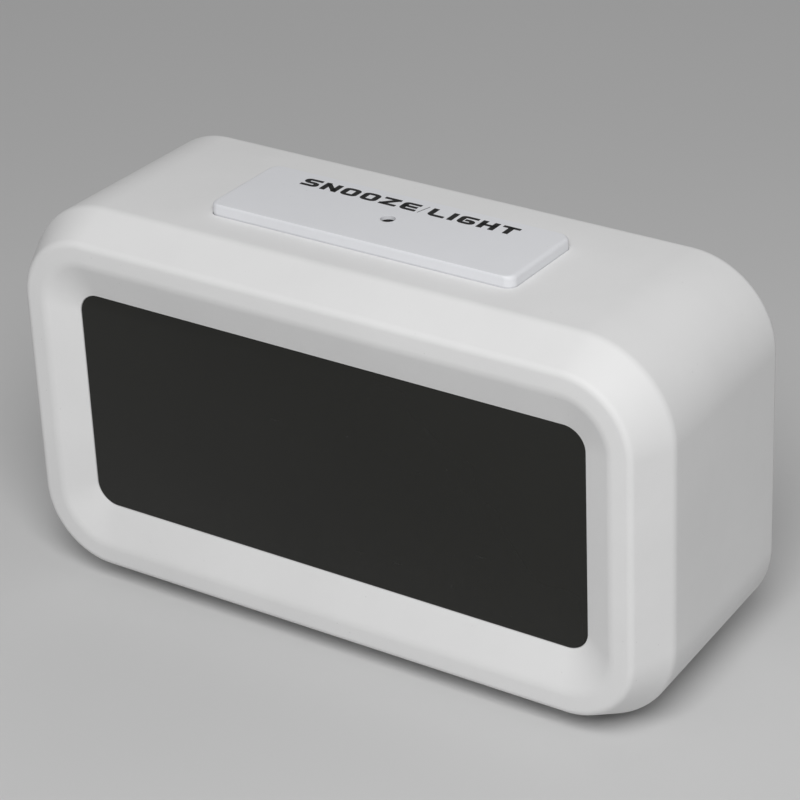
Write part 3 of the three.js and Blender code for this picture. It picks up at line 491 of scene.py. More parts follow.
WHITE = (0.82, 0.82, 0.82)
WHITE_SHADE = (0.79, 0.79, 0.79)
MATERIALS = {
    "case_white": moulded("case_white", WHITE, WHITE_SHADE, 0.54, 0.66),
    # foot=0.16 paints a thin shade line where the key comes up through the case's top.
    "key_white": moulded("key_white", (0.814, 0.822, 0.85), (0.791, 0.799, 0.827), 0.42, 0.52, 0.004,
                         foot=0.16),
    "smoked_lens": smoked_lens(),
    "holder_grey": moulded("holder_grey", (0.46, 0.48, 0.48), (0.40, 0.42, 0.42), 0.48, 0.62),
    "black_plastic": moulded("black_plastic", (0.011, 0.011, 0.012), (0.018, 0.018, 0.019), 0.36, 0.5),
    "foot_rubber": moulded("foot_rubber", (0.022, 0.022, 0.022), (0.04, 0.04, 0.039), 0.72, 0.88,
                           0.03, 1.6),
    "led_body": moulded("led_body", (0.82, 0.78, 0.50), (0.74, 0.70, 0.45), 0.3, 0.42, grain=0.002),
    "epoxy_black": moulded("epoxy_black", (0.006, 0.006, 0.007), (0.011, 0.011, 0.011), 0.14, 0.3,
                           0.03, 0.4),
    "lcd_glass": glassy("lcd_glass", (0.33, 0.37, 0.30), (0.30, 0.34, 0.28), 0.15),
    "clear_acrylic": glassy("clear_acrylic", (0.82, 0.87, 0.88), (0.78, 0.84, 0.86), 0.75),
    "elastomer": striped("elastomer", (0.62, 0.26, 0.32), (0.10, 0.07, 0.08), 0.25, 0.6, 0.01),
    "ribbon_grey": striped("ribbon_grey", (0.36, 0.37, 0.38), (0.24, 0.25, 0.26), 1.0, 0.45, 0.12),
    "board_green": board_green(),
    "screw_steel": metal("screw_steel", (0.62, 0.63, 0.64), (0.42, 0.43, 0.44), 0.22, 0.42),
    "contact_nickel": metal("contact_nickel", (0.70, 0.68, 0.62), (0.52, 0.50, 0.46), 0.18, 0.36,
                            (1, 1, 0.1)),
    "cell_jacket": foil_print("cell_jacket", (0.02, 0.035, 0.06), (0.20, 0.26, 0.34), 0.26, 0.38),
    "wire_red": insulation("wire_red", (0.42, 0.018, 0.012), (0.34, 0.014, 0.010)),
    "wire_black": insulation("wire_black", (0.012, 0.012, 0.012), (0.022, 0.022, 0.022)),
    "sensor_ceramic": light_sensor(),
}
CELL_BAND = foil_print("cell_band", (0.50, 0.24, 0.06), (0.85, 0.62, 0.30), 0.22, 0.34)
CELL_STEEL = metal("cell_steel", (0.66, 0.66, 0.65), (0.48, 0.48, 0.47), 0.2, 0.38)
DARK_INK = ink("dark_ink", (0.006, 0.006, 0.006), (0.012, 0.012, 0.012))
GREY_INK = ink("grey_ink", (0.20, 0.20, 0.21), (0.26, 0.26, 0.27))
LIGHT_INK = ink("light_ink", (0.62, 0.63, 0.64), (0.54, 0.55, 0.56))


# ---- The case ----

CORNERS = ("lower_left", "lower_right", "upper_left", "upper_right")


def front_housing():
    """The tub: outside from the back edge to the window, then inside back to the edge."""
    def even(inset, y, fillet=0.0, radius=None):
        corner = CASE["radius"] - inset if radius is None else radius
        return (CASE["width"] - 2 * inset, CASE["height"] - 2 * inset, corner, y, fillet)

    window = (WINDOW["width"], WINDOW["height"], WINDOW["radius"])
    pocket = tuple(LENS_POCKET[key] for key in ("width", "height", "radius"))
    border = 2 * LENS_POCKET["border"]
    window_y = FRONT_Y + WINDOW["recess"]
    pocket_y = window_y + LENS_POCKET["depth"]
    rim_inner = CHAMFER["inset"] + RIM["width"]
    inner_wall = CASE["draft"] + WALL
    case = loft("case_shell", [
        even(inner_wall, BACK_Y, ROUND["mouth"]),
        even(CASE["draft"] + 0.03, BACK_Y, ROUND["back"]),
        even(0.0, WIDEST_Y, ROUND["side"]),
        even(CHAMFER["inset"], FRONT_Y, ROUND["chamfer"], CHAMFER["radius"]),
        even(rim_inner, FRONT_Y, ROUND["rim"], RIM["radius"]),
        (*window, window_y, ROUND["window"]),
        (*window, window_y + WINDOW["lip"], 0.0),
        (*pocket, window_y + WINDOW["lip"], 0.0),
        (*pocket, pocket_y, 0.0),
        (pocket[0] + border, pocket[1] + border, pocket[2] + 0.7, pocket_y, 0.0),
        even(rim_inner + 0.8, FRONT_Y + WALL, 0.0, RIM["radius"]),
        even(CHAMFER["inset"] + 1.5, FRONT_Y + WALL, 0.0, CHAMFER["radius"] - 1),
        even(WALL, WIDEST_Y + 0.7, 0.0),
    ], (0.0, CASE_MID), "Y")

    # The slot for the key, with a small chamfer where it meets the sloping top.
    length = KEY["length"] + 2 * SLOT["side"]
    depth = KEY["depth"] + SLOT["front"] + SLOT["back"]
    middle_y = KEY["y"] + (SLOT["back"] - SLOT["front"]) / 2
    radius = KEY["radius"] + SLOT["side"]
    surface = CASE_TOP - SLOPE * (KEY["y"] - WIDEST_Y)
    flare = SLOT["flare"]
    slot = loft("key_slot", [
        (length, depth, radius, CASE_TOP - SLOT["deep"], 0),
        (length, depth, radius, surface - flare, 0),
        (length + 4 * flare, depth + 4 * flare, radius + 2 * flare, surface + flare, 0),
    ], (0.0, middle_y), "Z", closed=False, tilt=follow_top, steps=10)
    combine(case, "UNION", *case_bosses())
    combine(case, "DIFFERENCE", slot, *foot_recesses(), *boss_holes())
    smooth(case, 28)
    weighted(case)
    return case


def span_of(node):
    """A CAD node's lowest and highest corners, in millimetres."""
    return tuple([c / MM for c in corner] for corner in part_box(node))


def node_middle(node):
    """The middle of a CAD node's box, in millimetres."""
    return [(a + b) / 2 for a, b in zip(*span_of(node))]


def case_bosses():
    """Posts for the rear cover's screws, each with a rib to the side wall, and bosses for two boards."""
    made = []
    for name in CORNERS:
        x, _, z = node_middle("rear_cover_screw_" + name)
        ends = [(POST["radius"], POST["front"]), (POST["radius"], POST["back"])]
        made.append(turned("post", ends, (x, z), "Y", 32))
        wall_x = math.copysign(CASE["width"] / 2 - CASE["draft"] - WALL / 2, x)
        rib = (abs(wall_x - x), POST["rib"], 0.1)
        made.append(loft("rib", [(*rib, POST["front"], 0), (*rib, POST["back"], 0)],
                         ((x + wall_x) / 2, z), "Y", closed=False, steps=2))
    for side in ("left", "right"):
        x, _, z = node_middle("main_board_screw_" + side)
        front, back = FRONT_Y + WALL - 0.1, span_of("main_board")[0][1] - BOSS["clear"]
        made.append(turned("boss", [(BOSS["radius"], front), (BOSS["radius"], back)], (x, z), "Y", 32))
        x, y, _ = node_middle("snooze_board_screw_" + side)
        bottom, top = span_of("snooze_board")[1][2] + BOSS["clear"], CASE_TOP - WALL + 0.6
        made.append(turned("boss", [(BOSS["radius"], bottom), (BOSS["radius"], top)], (x, y), "Z", 32))
    return made


def boss_holes():
    made = []
    for name in CORNERS:
        x, _, z = node_middle("rear_cover_screw_" + name)
        ends = [(POST["hole"], POST["front"] + 2), (POST["hole"], POST["back"] + 0.4)]
        made.append(turned("hole", ends, (x, z), "Y", 24))
    return made


def foot_recesses():
    made = []
    for name in ("front_left", "front_right", "back_left", "back_right"):
        x, y, _ = node_middle("foot_" + name)
        top = span_of("foot_" + name)[1][2] + FOOT_RECESS["clear"]
        ends = [(FOOT_RECESS["radius"], -2), (FOOT_RECESS["radius"], top)]
        made.append(turned("recess", ends, (x, y), "Z", 40))
    return made


def follow_top(y, level):
    """How much lower the sloping top is at y than at the key's middle, near the surface."""
    return -SLOPE * (y - KEY["y"]) if level > CASE_TOP - 3 else 0.0


def snooze_key():
    """A shell with a flange below the case's top and a hole in the middle, over a well for the light sensor."""
    cap = (KEY["length"], KEY["depth"], KEY["radius"])
    side = KEY_FLANGE["width"]
    flange = (cap[0] + 2 * side, cap[1] + 2 * side, cap[2] + side)
    wall = KEY_INSIDE["wall"]
    inside = (cap[0] - 2 * wall, cap[1] - 2 * wall, KEY_INSIDE["radius"])
    hole = (2 * KEY["hole"], 2 * KEY["hole"], KEY["hole"])
    well = tuple(2.4 * c for c in hole)
    under_skin = KEY_TOP - KEY["skin"]

    def tilt(y, level):
        return follow_top(y, level) if level > KEY_INSIDE["top"] + 0.1 else 0.0

    key = loft("snooze_key_shell", [
        (*flange, KEY_FLANGE["bottom"], 0.2),
        (*flange, KEY_FLANGE["top"], 0.2),
        (*cap, KEY_FLANGE["top"], 0),
        (*cap, KEY_TOP, 0.85),
        (*hole, KEY_TOP, 0.05),
        (*hole, under_skin, 0.0),
        (*well, under_skin - 0.6, 0.0),
        (*well, KEY_INSIDE["top"], 0.0),
        (*inside, KEY_INSIDE["top"], 0.4),
        (*inside, KEY_FLANGE["bottom"], 0.0),
    ], (0.0, KEY["y"]), "Z", tilt=tilt)
    smooth(key, 28)
    weighted(key)
    return key


def display_lens():
    """A plate behind the window, with a raised pane that fills the opening."""
    low, high = span_of("display_lens")
    plate = (high[0] - low[0], high[2] - low[2], 5.6)
    pane = (WINDOW["width"] - 0.1, WINDOW["height"] - 0.1, WINDOW["radius"] - 0.05)
    face = FRONT_Y + WINDOW["recess"] + 0.2
    lens = loft("display_lens_plate", [
        (*plate, high[1], 0), (*plate, low[1], 0), (*pane, low[1], 0), *rounded_end(*pane, face, 0.08, -1),
    ], (0.0, CASE_MID), "Y", closed=False)
    smooth(lens)
    return lens


# ---- Letters ----

def letters(name, words, height, place, width=None, bold=0.0, lift=0.02, strip=None):
    """Thin solid letters. Height is a capital's, and width is the whole length where it is given.
    place(x, y, level) gives a point, with x and y from the middle of the words. Strip cuts them into
    bands of that height, so that they can bend round a cell."""
    curve = bpy.data.curves.new(name, "FONT")
    curve.body = words
    curve.offset = bold
    curve.extrude = 0.01
    curve.resolution_u = 5
    flat = new_object(name + "_flat", curve)
    graph = bpy.context.evaluated_depsgraph_get()
    graph.update()
    mesh = bpy.data.meshes.new_from_object(flat.evaluated_get(graph))
    bpy.data.objects.remove(flat)
    xs, ys = ([v.co[axis] for v in mesh.vertices] for axis in (0, 1))
    up = height / (max(ys) - min(ys))
    along = width / (max(xs) - min(xs)) if width else up
    for v in mesh.vertices:
        x = (v.co.x - (max(xs) + min(xs)) / 2) * along
        y = (v.co.y - (max(ys) + min(ys)) / 2) * up
        v.co = (x, y, lift if v.co.z > 0 else -lift)
    shape = bmesh.new()
    shape.from_mesh(mesh)
    bmesh.ops.remove_doubles(shape, verts=shape.verts, dist=0.0005)
    for i in range(1, math.ceil(height / strip) if strip else 0):
        everything = list(shape.verts) + list(shape.edges) + list(shape.faces)
        middle = (0, i * strip - height / 2, 0)
        bmesh.ops.bisect_plane(shape, geom=everything, plane_co=middle, plane_no=(0, 1, 0))
    for v in shape.verts:
        v.co = Vector(place(*v.co)) * MM
    bmesh.ops.recalc_face_normals(shape, faces=shape.faces)
    if shape.calc_volume(signed=True) < 0:
        bmesh.ops.reverse_faces(shape, faces=shape.faces)
    shape.to_mesh(mesh)
    shape.free()
    return new_object(name, mesh)


# Plain block capitals as strokes on a square from (0, 0) to (1, 1). A stroke that ends where it starts is
# closed.
CAPITALS = {
    "S": [[(1, 1), (0, 1), (0, 0.5), (1, 0.5), (1, 0), (0, 0)]],
    "N": [[(0, 0), (0, 1)], [(0, 1), (1, 0)], [(1, 0), (1, 1)]],
    "O": [[(0, 0), (1, 0), (1, 1), (0, 1), (0, 0)]],
    "Z": [[(0, 1), (1, 1)], [(1, 1), (0, 0)], [(0, 0), (1, 0)]],
    "E": [[(1, 1), (0, 1), (0, 0), (1, 0)], [(0, 0.5), (0.9, 0.5)]],
    "L": [[(0, 1), (0, 0), (1, 0)]],
    "I": [[(0, 0), (0, 1)]],
    "G": [[(1, 1), (0, 1), (0, 0), (1, 0), (1, 0.48), (0.55, 0.48)]],
    "H": [[(0, 0), (0, 1)], [(1, 0), (1, 1)], [(0, 0.5), (1, 0.5)]],
    "T": [[(0, 1), (1, 1)], [(0.5, 0), (0.5, 1)]],
    "M": [[(0, 0), (0, 1)], [(0, 1), (0.5, 0.3)], [(0.5, 0.3), (1, 1)], [(1, 0), (1, 1)]],
    "D": [[(0, 0), (0.6, 0), (1, 0.3), (1, 0.7), (0.6, 1), (0, 1), (0, 0)]],
    "U": [[(0, 1), (0, 0), (1, 0), (1, 1)]],
    "P": [[(0, 0), (0, 1), (1, 1), (1, 0.45), (0, 0.45)]],
    "W": [[(0, 1), (0.28, 0)], [(0.28, 0), (0.5, 0.7)], [(0.5, 0.7), (0.72, 0)], [(0.72, 0), (1, 1)]],
    "A": [[(0, 0), (0, 1), (1, 1), (1, 0)], [(0, 0.42), (1, 0.42)]],
    "F": [[(1, 1), (0, 1), (0, 0)], [(0, 0.5), (0.85, 0.5)]],
}


def stroke_path(points, bend):
    """The stroke's points with each inner corner turned into an arc of radius `bend`."""
    closed = points[0] == points[-1]
    corners = points[:-1] if closed else points[1:-1]
    result = [] if closed else [points[0]]
    for i, corner in enumerate(corners):
        before = corners[i - 1] if closed else points[i]
        after = corners[(i + 1) % len(corners)] if closed else points[i + 2]
        into, out = ((corner - before).normalized(), (after - corner).normalized())
        start, end = corner - into * bend, corner + out * bend
        for k in range(7):
            turn = k / 6 * math.pi / 2
            result.append(start + into * bend * math.sin(turn) + out * bend * (1 - math.cos(turn)))
        result[-1] = end
    if not closed:
        result.append(points[-1])
    return result, closed


def stroke(shape, points, weight, bend, thick):
    """Adds one stroke of even weight to a bmesh as a thin closed strip. Its ends reach half a weight
    further, except on a slanting stroke."""
    path, closed = stroke_path(points, bend)
    first = path[1] - path[0]
    if not closed and abs(first.x * first.y) < 1e-6:
        path[0] = path[0] - (path[1] - path[0]).normalized() * weight / 2
        path[-1] = path[-1] + (path[-1] - path[-2]).normalized() * weight / 2
    rings = []
    for i, point in enumerate(path):
        before = path[i - 1] if closed or i else point
        after = path[(i + 1) % len(path)] if closed or i + 1 < len(path) else point
        along = (after - before).normalized()
        across = Vector((-along.y, along.x)) * weight / 2
        corners = ((1, thick), (1, -thick), (-1, -thick), (-1, thick))
        rings.append([shape.verts.new((*(point + side * across), z)) for side, z in corners])
    pairs = list(zip(rings, rings[1:] + rings[:1] if closed else rings[1:]))
    for low, high in pairs:
        for a in range(4):
            b = (a + 1) % 4
            shape.faces.new((low[a], low[b], high[b], high[a]))
    if not closed:
        shape.faces.new(rings[0])
        shape.faces.new(list(reversed(rings[-1])))


def block_word(name, word, left, height, width, weight, space, place, flat=1.0):
    """A word in block capitals, `space` apart. I is only as wide as its stroke. Left is None to centre it.
    Flat is the weight of the level strokes as a share of the upright ones."""
    tall = height / flat
    spans = [0.0 if letter == "I" else width - weight for letter in word]
    if left is None:
        left = -(sum(spans) + len(word) * weight + (len(word) - 1) * space) / 2
    shape = bmesh.new()
    x = left
    for letter, span in zip(word, spans):
        if letter == " ":
            x += span
            continue
        for line in CAPITALS[letter]:
            points = [Vector((x + weight / 2 + u * span, weight / 2 + v * (tall - weight) - tall / 2))
                      for u, v in line]
            stroke(shape, points, weight, 0.6 * weight, 0.02)
        x += span + weight + space
    bmesh.ops.recalc_face_normals(shape, faces=shape.faces)
    for v in shape.verts:
        v.co = Vector(place(v.co.x, v.co.y * flat, v.co.z)) * MM
    mesh = bpy.data.meshes.new(name)
    shape.to_mesh(mesh)
    shape.free()
    return new_object(name, mesh)


def key_print():
    """The words on the snooze key, wide and heavy, near its back edge, with a thin stroke between them."""
    middle_y = KEY["y"] + KEY["depth"] / 2 - 3.75

    def on_key(x, y, level):
        return (x, middle_y + y, KEY_TOP - SLOPE * (middle_y + y - KEY["y"]) + level + 0.01)

    for name, word, left in (("snooze_word", "SNOOZE", -22.4), ("light_word", "LIGHT", 4.75)):
        made = block_word(name, word, left, 3.05, 3.5, 1.1, 0.74, on_key, flat=0.66)
        finish_piece(made, "snooze", "black_plastic", DARK_INK)
    shape = bmesh.new()
    stroke(shape, [Vector((2.95, -1.55)), Vector((3.75, 1.55))], 0.2, 0, 0.02)
    for v in shape.verts:
        v.co = Vector(on_key(*v.co)) * MM
    bmesh.ops.recalc_face_normals(shape, faces=shape.faces)
    mesh = bpy.data.meshes.new("word_slash")
    shape.to_mesh(mesh)
    shape.free()
    finish_piece(new_object("word_slash", mesh), "snooze", "black_plastic", GREY_INK)


# ---- The back ----

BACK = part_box("rear_cover")[1][1] / MM      # the outer face of the rear cover
COVER_THICK = 2.4
LID_THICK = 1.5
LID_BOTTOM = span_of("battery_cell_3")[0][2] - 2.15      # the lower edge of the lid's plate, above its tabs
LID_TAB = dict(x=15, half=3.5, front=4.3, back=2.9, high=1.6)
BAY = dict(wall=1.4, inset=1.7)                          # its wall, and how far it lies inside the lid's edge
LID_SEAT = dict(play=0.3, depth=1.8)
SCREW_POCKET = dict(radius=2.9, depth=2.6, hole=1.5, pillar=4.0)
KEY_MOUTH = dict(width=10.0, height=5.8)
SLIDER_MOUTH = dict(width=8.6, height=3.6, radius=0.6, shift=2.0)
GRILLE = dict(hole=0.8, pitch=2.8, around=6)
BEYOND = 9.0                                             # how far a cutter reaches past the back
REAR_KEYS = ("mode", "set", "up", "down")


def rear_cover():
    """The panel, the battery bay behind it, and openings for the keys, slider, sound, screws and lid."""
    low, high = span_of("rear_cover")
    inner = BACK - COVER_THICK
    size = (high[0] - low[0], high[2] - low[2], CASE["radius"] - 3.7)
    cover = loft("rear_cover_shell", [(*size, inner, 0), *rounded_end(*size, BACK, 0.45)],
                 (0.0, CASE_MID), "Y", closed=False)
    lid_x, _, lid_top = span_of("battery_cover")[1]
    bay_x, bay_bottom, bay_top = lid_x - BAY["inset"], LID_BOTTOM + BAY["inset"], lid_top - BAY["inset"]
    wall, play, seat = BAY["wall"], LID_SEAT["play"], BACK - LID_SEAT["depth"]
    floor = low[1] + wall
    add = [brick("bay", (-bay_x - wall, bay_x + wall), (low[1], inner + 0.5),
                 (bay_bottom - wall, bay_top + wall))]
    cut = [brick("bay_hollow", (-bay_x, bay_x), (floor, BACK + BEYOND), (bay_bottom, bay_top))]
    cut.append(mouth("lid_recess", 2 * (lid_x + play), lid_top - LID_BOTTOM + 2 * play, 2.3, seat, BACK,
                     (0.0, (lid_top + LID_BOTTOM) / 2), 0.15))
    for x in (-LID_TAB["x"], LID_TAB["x"]):
        cut.append(brick("tab_notch", (x - LID_TAB["half"] - 1, x + LID_TAB["half"] + 1),
                         (BACK - LID_TAB["front"] - 1, seat), (LID_BOTTOM, bay_bottom + 0.5)))
    cut.append(brick("latch_notch", (-5, 5), (BACK - 4.8, seat), (bay_top - 0.5, lid_top + play)))
    for name in CORNERS:
        x, _, z = node_middle("rear_cover_screw_" + name)
        pillar, hole, pocket = SCREW_POCKET["pillar"], SCREW_POCKET["hole"], SCREW_POCKET["radius"]
        add.append(turned("pillar", [(pillar, inner - 2), (pillar, inner + 0.5)], (x, z), "Y", 32))
        cut.append(turned("clearance", [(hole, 0), (hole, BACK + BEYOND)], (x, z), "Y", 24))
        cut.append(mouth("pocket", 2 * pocket, 2 * pocket, pocket, BACK - SCREW_POCKET["depth"], BACK, (x, z)))
    for side in ("left", "right"):
        x, _, z = node_middle("rear_board_screw_" + side)
        board_back = span_of("rear_board")[1][1]
        add.append(turned("boss", [(2.6, board_back + 0.3), (2.6, inner + 0.5)], (x, z), "Y", 32))
        cut.append(turned("boss_hole", [(1.3, 0), (1.3, inner - 0.9)], (x, z), "Y", 24))
    for word in REAR_KEYS:
        x, _, z = node_middle(word + "_key")
        cut.append(mouth("key_mouth", KEY_MOUTH["width"], KEY_MOUTH["height"], KEY_MOUTH["height"] / 2 - 0.01,
                         inner - 0.5, BACK, (x, z)))
    x, _, z = node_middle("sensor_slider")
    cut.append(mouth("slider_mouth", SLIDER_MOUTH["width"], SLIDER_MOUTH["height"], SLIDER_MOUTH["radius"],
                     inner - 0.5, BACK, (x + SLIDER_MOUTH["shift"], z)))
    x, _, z = node_middle("buzzer")
    turns = [i * 2 * math.pi / GRILLE["around"] for i in range(GRILLE["around"])]
    pitch, hole = GRILLE["pitch"], GRILLE["hole"]
    for place in [(x, z)] + [(x + pitch * math.cos(turn), z + pitch * math.sin(turn)) for turn in turns]:
        cut.append(mouth("sound", 2 * hole, 2 * hole, hole, inner - 0.5, BACK, place, 0.2))
    for contact, cell in (("contact_positive", "battery_cell_1"), ("contact_negative", "battery_cell_3")):
        edge = max(span_of(contact)[0][0], span_of(contact)[1][0], key=abs)
        z = node_middle(cell)[2]
        side = math.copysign(1, edge)
        cut.append(brick("tab_slot", sorted((edge - 0.7 * side, edge + 0.29 * side)),
                         (0, floor + 0.5), (z - 1.9, z + 1.9)))
    combine(cover, "UNION", *add)
    combine(cover, "DIFFERENCE", *cut)
    smooth(cover, 28)
    weighted(cover)
    return cover


def battery_cover():
    """The lid: two tabs at its lower edge, a latch arm at its upper edge, and ribs to push it by."""
    low, high = span_of("battery_cover")
    plate_y = BACK - LID_THICK
    size, middle = (high[0] - low[0], high[2] - LID_BOTTOM, 2.0), (LID_BOTTOM + high[2]) / 2
    lid = loft("battery_lid", [(*size, plate_y, 0), *rounded_end(*size, BACK, 0.25)], (0.0, middle), "Y",
               closed=False, steps=10)
    add = [brick("latch", (-4, 4), (plate_y - 2.4, plate_y + 0.5), (high[2] - 1.4, high[2] - 0.4))]
    front, top = BACK - LID_TAB["front"], LID_BOTTOM + LID_TAB["high"]
    for x in (-LID_TAB["x"], LID_TAB["x"]):
        xs = (x - LID_TAB["half"], x + LID_TAB["half"])
        add.append(brick("tab", xs, (front, BACK - LID_TAB["back"]), (low[2], top)))
        add.append(brick("tab_neck", xs, (front, plate_y + 0.5), (LID_BOTTOM + 0.3, top)))
    rib = (12, 0.8, 0.39)
    for i in range(3):
        add.append(loft("rib", [(*rib, BACK - 0.5, 0), *rounded_end(*rib, BACK + 0.5, 0.3)],
                        (0.0, high[2] - 4 - 2 * i), "Y", closed=False, steps=5))
    combine(lid, "UNION", *add)
    smooth(lid, 28)
    weighted(lid)
    return lid


def rear_key(word):
    """A cap with domed edges on a wider flange behind the rear cover."""
    low, high = span_of(word + "_key")
    x, _, z = node_middle(word + "_key")
    flange = (high[0] - low[0], high[2] - low[2], 2.0)
    flange_y = low[1] + 1.3
    play = 0.3
    width, height = KEY_MOUTH["width"] - 2 * play, KEY_MOUTH["height"] - 2 * play
    cap = (width, height, height / 2 - 0.01)
    key = loft(word + "_key_cap", [
        (*flange, low[1], 0), (*flange, flange_y, 0), (*cap, flange_y, 0), *rounded_end(*cap, high[1], 0.5),
    ], (x, z), "Y", closed=False, steps=12)
    smooth(key, 28)
    weighted(key)
    return key


def sensor_slider():
    """The slide switch's knob, with three ridges to push it by, on a stem."""
    low, high = span_of("sensor_slider")
    x, _, z = node_middle("sensor_slider")
    width, height = high[0] - low[0], high[2] - low[2]
    inner = BACK - COVER_THICK
    knob = loft("sensor_slider_knob", [(width, height, 0.3, inner - 0.6, 0),
                                       *rounded_end(width, height, 0.3, high[1] - 0.5, 0.15)],
                (x, z), "Y", closed=False, steps=5)
    add = [brick("stem", (x - 1, x + 1), (low[1], inner + 0.2), (z - 0.8, z + 0.8))]
    for i in (-1, 0, 1):
        add.append(loft("ridge", [(0.6, height - 0.1, 0.15, BACK - 0.4, 0),
                                  *rounded_end(0.6, height - 0.1, 0.15, high[1], 0.14)],
                        (x + 1.3 * i, z), "Y", closed=False, steps=2))
    combine(knob, "UNION", *add)
    smooth(knob, 28)
    return knob


def cover_screw(name):
    """A pan head with a cross recess, and a pointed shank."""
    low, high = span_of(name)
    x, _, z = node_middle(name)
    end, seat = high[1], high[1] - 1.6
    head = [(2.5, seat), (2.5, end - 0.7), (2.38, end - 0.38), (2.12, end - 0.15), (1.7, end - 0.04),
            (1.2, end)]
    screw = turned(name + "_detail", [(0.2, low[1]), (1.2, low[1] + 1.6), (1.2, seat), *head], (x, z), "Y")
    recess = [loft("cross", [(*size, 0.1, end - 1.2, 0), (*[s + 0.5 for s in size], 0.1, end + 0.4, 0)],
                   (x, z), "Y", closed=False, steps=2) for size in ((2.3, 0.5), (0.5, 2.3))]
    combine(screw, "DIFFERENCE", *recess)
    smooth(screw, 24)
    weighted(screw)
    return screw


# ---- The other pieces ----

# The pieces that show and keep the frame's form: how far their edges are rounded, in millimetres, and the
# angle in degrees up to which a surface is smooth.
SHOWN = {"foot": (0.5, 35), "battery_cell": (0.15, 32), "contact": (0, 65), "light_sensor": (0.25, 35)}
SLOT_OF = {part["node"]: part["material_slot"] for part in frame["record"]["subparts"]}


def refined(node, bevel, angle):
    """The node's solid with its flat faces made whole and its edges rounded."""
    source = frame["nodes"][node]
    shape = bmesh.new()
    shape.from_mesh(source.data)
    shape.transform(source.matrix_world)
    bmesh.ops.remove_doubles(shape, verts=shape.verts, dist=0.03 * MM)
    bmesh.ops.dissolve_limit(shape, angle_limit=math.radians(0.6), verts=shape.verts, edges=shape.edges)
    mesh = bpy.data.meshes.new(node + "_detail")
    shape.to_mesh(mesh)
    shape.free()
    made = new_object(node + "_detail", mesh)
    if bevel:
        rounding = made.modifiers.new("rounding", "BEVEL")
        rounding.width = bevel * MM
        rounding.segments = 3
        rounding.limit_method = "ANGLE"
        rounding.angle_limit = math.radians(angle)
        rounding.use_clamp_overlap = False
        bake_modifiers(made)
    smooth(made, angle)
    weighted(made)
    return made


def carried_over(own):
    """Every piece with no form of its own above. Those that show get finer edges, and the rest keep theirs."""
    for node, source in frame["nodes"].items():
        slot = SLOT_OF[node]
        if node in own:
            continue
        edges = next((SHOWN[kind] for kind in SHOWN if node.startswith(kind)), None)
        if edges:
            piece = refined(node, *edges)
            finish_piece(piece, body_of(source)[0], slot, MATERIALS[slot], node)
            if slot == "cell_jacket":
                dress_cell(piece, node)
        else:
            source.material_slots[0].material = MATERIALS[slot]


def dress_cell(cell, node):
    """Bare steel ends, a copper-coloured band at the positive end, and the size printed on the jacket."""
    low, high = span_of(node)
    nub_side = 1 if node == "battery_cell_2" else -1
    tip, tail = (high[0], low[0]) if nub_side > 0 else (low[0], high[0])
    shoulder = tip - 0.8 * nub_side
    bare, band = 0.9, 10.5      # the steel left bare at each end, and the copper-coloured length
    marks = [tail + bare * nub_side, shoulder - band * nub_side, shoulder - bare * nub_side]
    shape = bmesh.new()
    shape.from_mesh(cell.data)
    for x in marks:
        everything = list(shape.verts) + list(shape.edges) + list(shape.faces)
        bmesh.ops.bisect_plane(shape, geom=everything, plane_co=(x * MM, 0, 0), plane_no=(1, 0, 0))
    middle_y, middle_z = (low[1] + high[1]) / 2, (low[2] + high[2]) / 2
    radius = (high[2] - low[2]) / 2
    for face in shape.faces:
        at = face.calc_center_median() / MM
        along = (at.x - tail) * nub_side
        round_it = math.hypot(at.y - middle_y, at.z - middle_z) > radius - 0.5
        if not round_it or along < bare or (shoulder - at.x) * nub_side < bare:
            face.material_index = 2
        elif (at.x - marks[1]) * nub_side > 0:
            face.material_index = 1
    shape.to_mesh(cell.data)
    shape.free()
    for material in (CELL_BAND, CELL_STEEL):
        cell.data.materials.append(material)

    def round_jacket(shift):
        def place(x, y, level):
            turn, out = y / radius, radius + level
            return (shift - x, middle_y + out * math.cos(turn), middle_z + out * math.sin(turn))
        return place

    prints = (("size", "AAA  1.5 V", 2.4, (tail + marks[1]) / 2), ("plus", "+", 2.8, shoulder - 5.5 * nub_side))
    for name, words, height, shift in prints:
        mark = letters(f"{node}_{name}", words, height, round_jacket(shift), strip=0.35)
        finish_piece(mark, "case", "cell_jacket", LIGHT_INK)


def rear_print():
    """Small words beside the rear keys and the slide switch, and a raised arrow on the battery lid."""
    def on_back(x0, z0):
        return lambda x, y, level: (x0 - x, BACK + level, z0 + y)

    def label(name, word, height, x, z):
        width, weight, space = 0.85 * height, 0.17 * height, 0.26 * height
        made = block_word(name, word, None, height, width, weight, space, on_back(x, z))
        finish_piece(made, "case", "black_plastic", GREY_INK)

    for word in REAR_KEYS:
        x, _, _ = node_middle(word + "_key")
        label(word + "_word", word.upper(), 1.7, x, span_of(word + "_key")[0][2] - 1.3)
    low, high = span_of("sensor_slider")
    label("slider_off_word", "OFF", 1.4, low[0] + 0.8, low[2] - 2.5)
    label("slider_on_word", "ON", 1.4, high[0] + 3.2, low[2] - 2.5)
    label("slider_use_word", "AUTO LIGHT", 1.4, (low[0] + high[0]) / 2 + SLIDER_MOUTH["shift"], high[2] + 2.5)
    arrow = letters("lid_arrow", "V", 2.6, on_back(0.0, 34.5), width=4.0, bold=0.02, lift=0.25)
    finish_piece(arrow, "lid", "case_white", MATERIALS["case_white"])


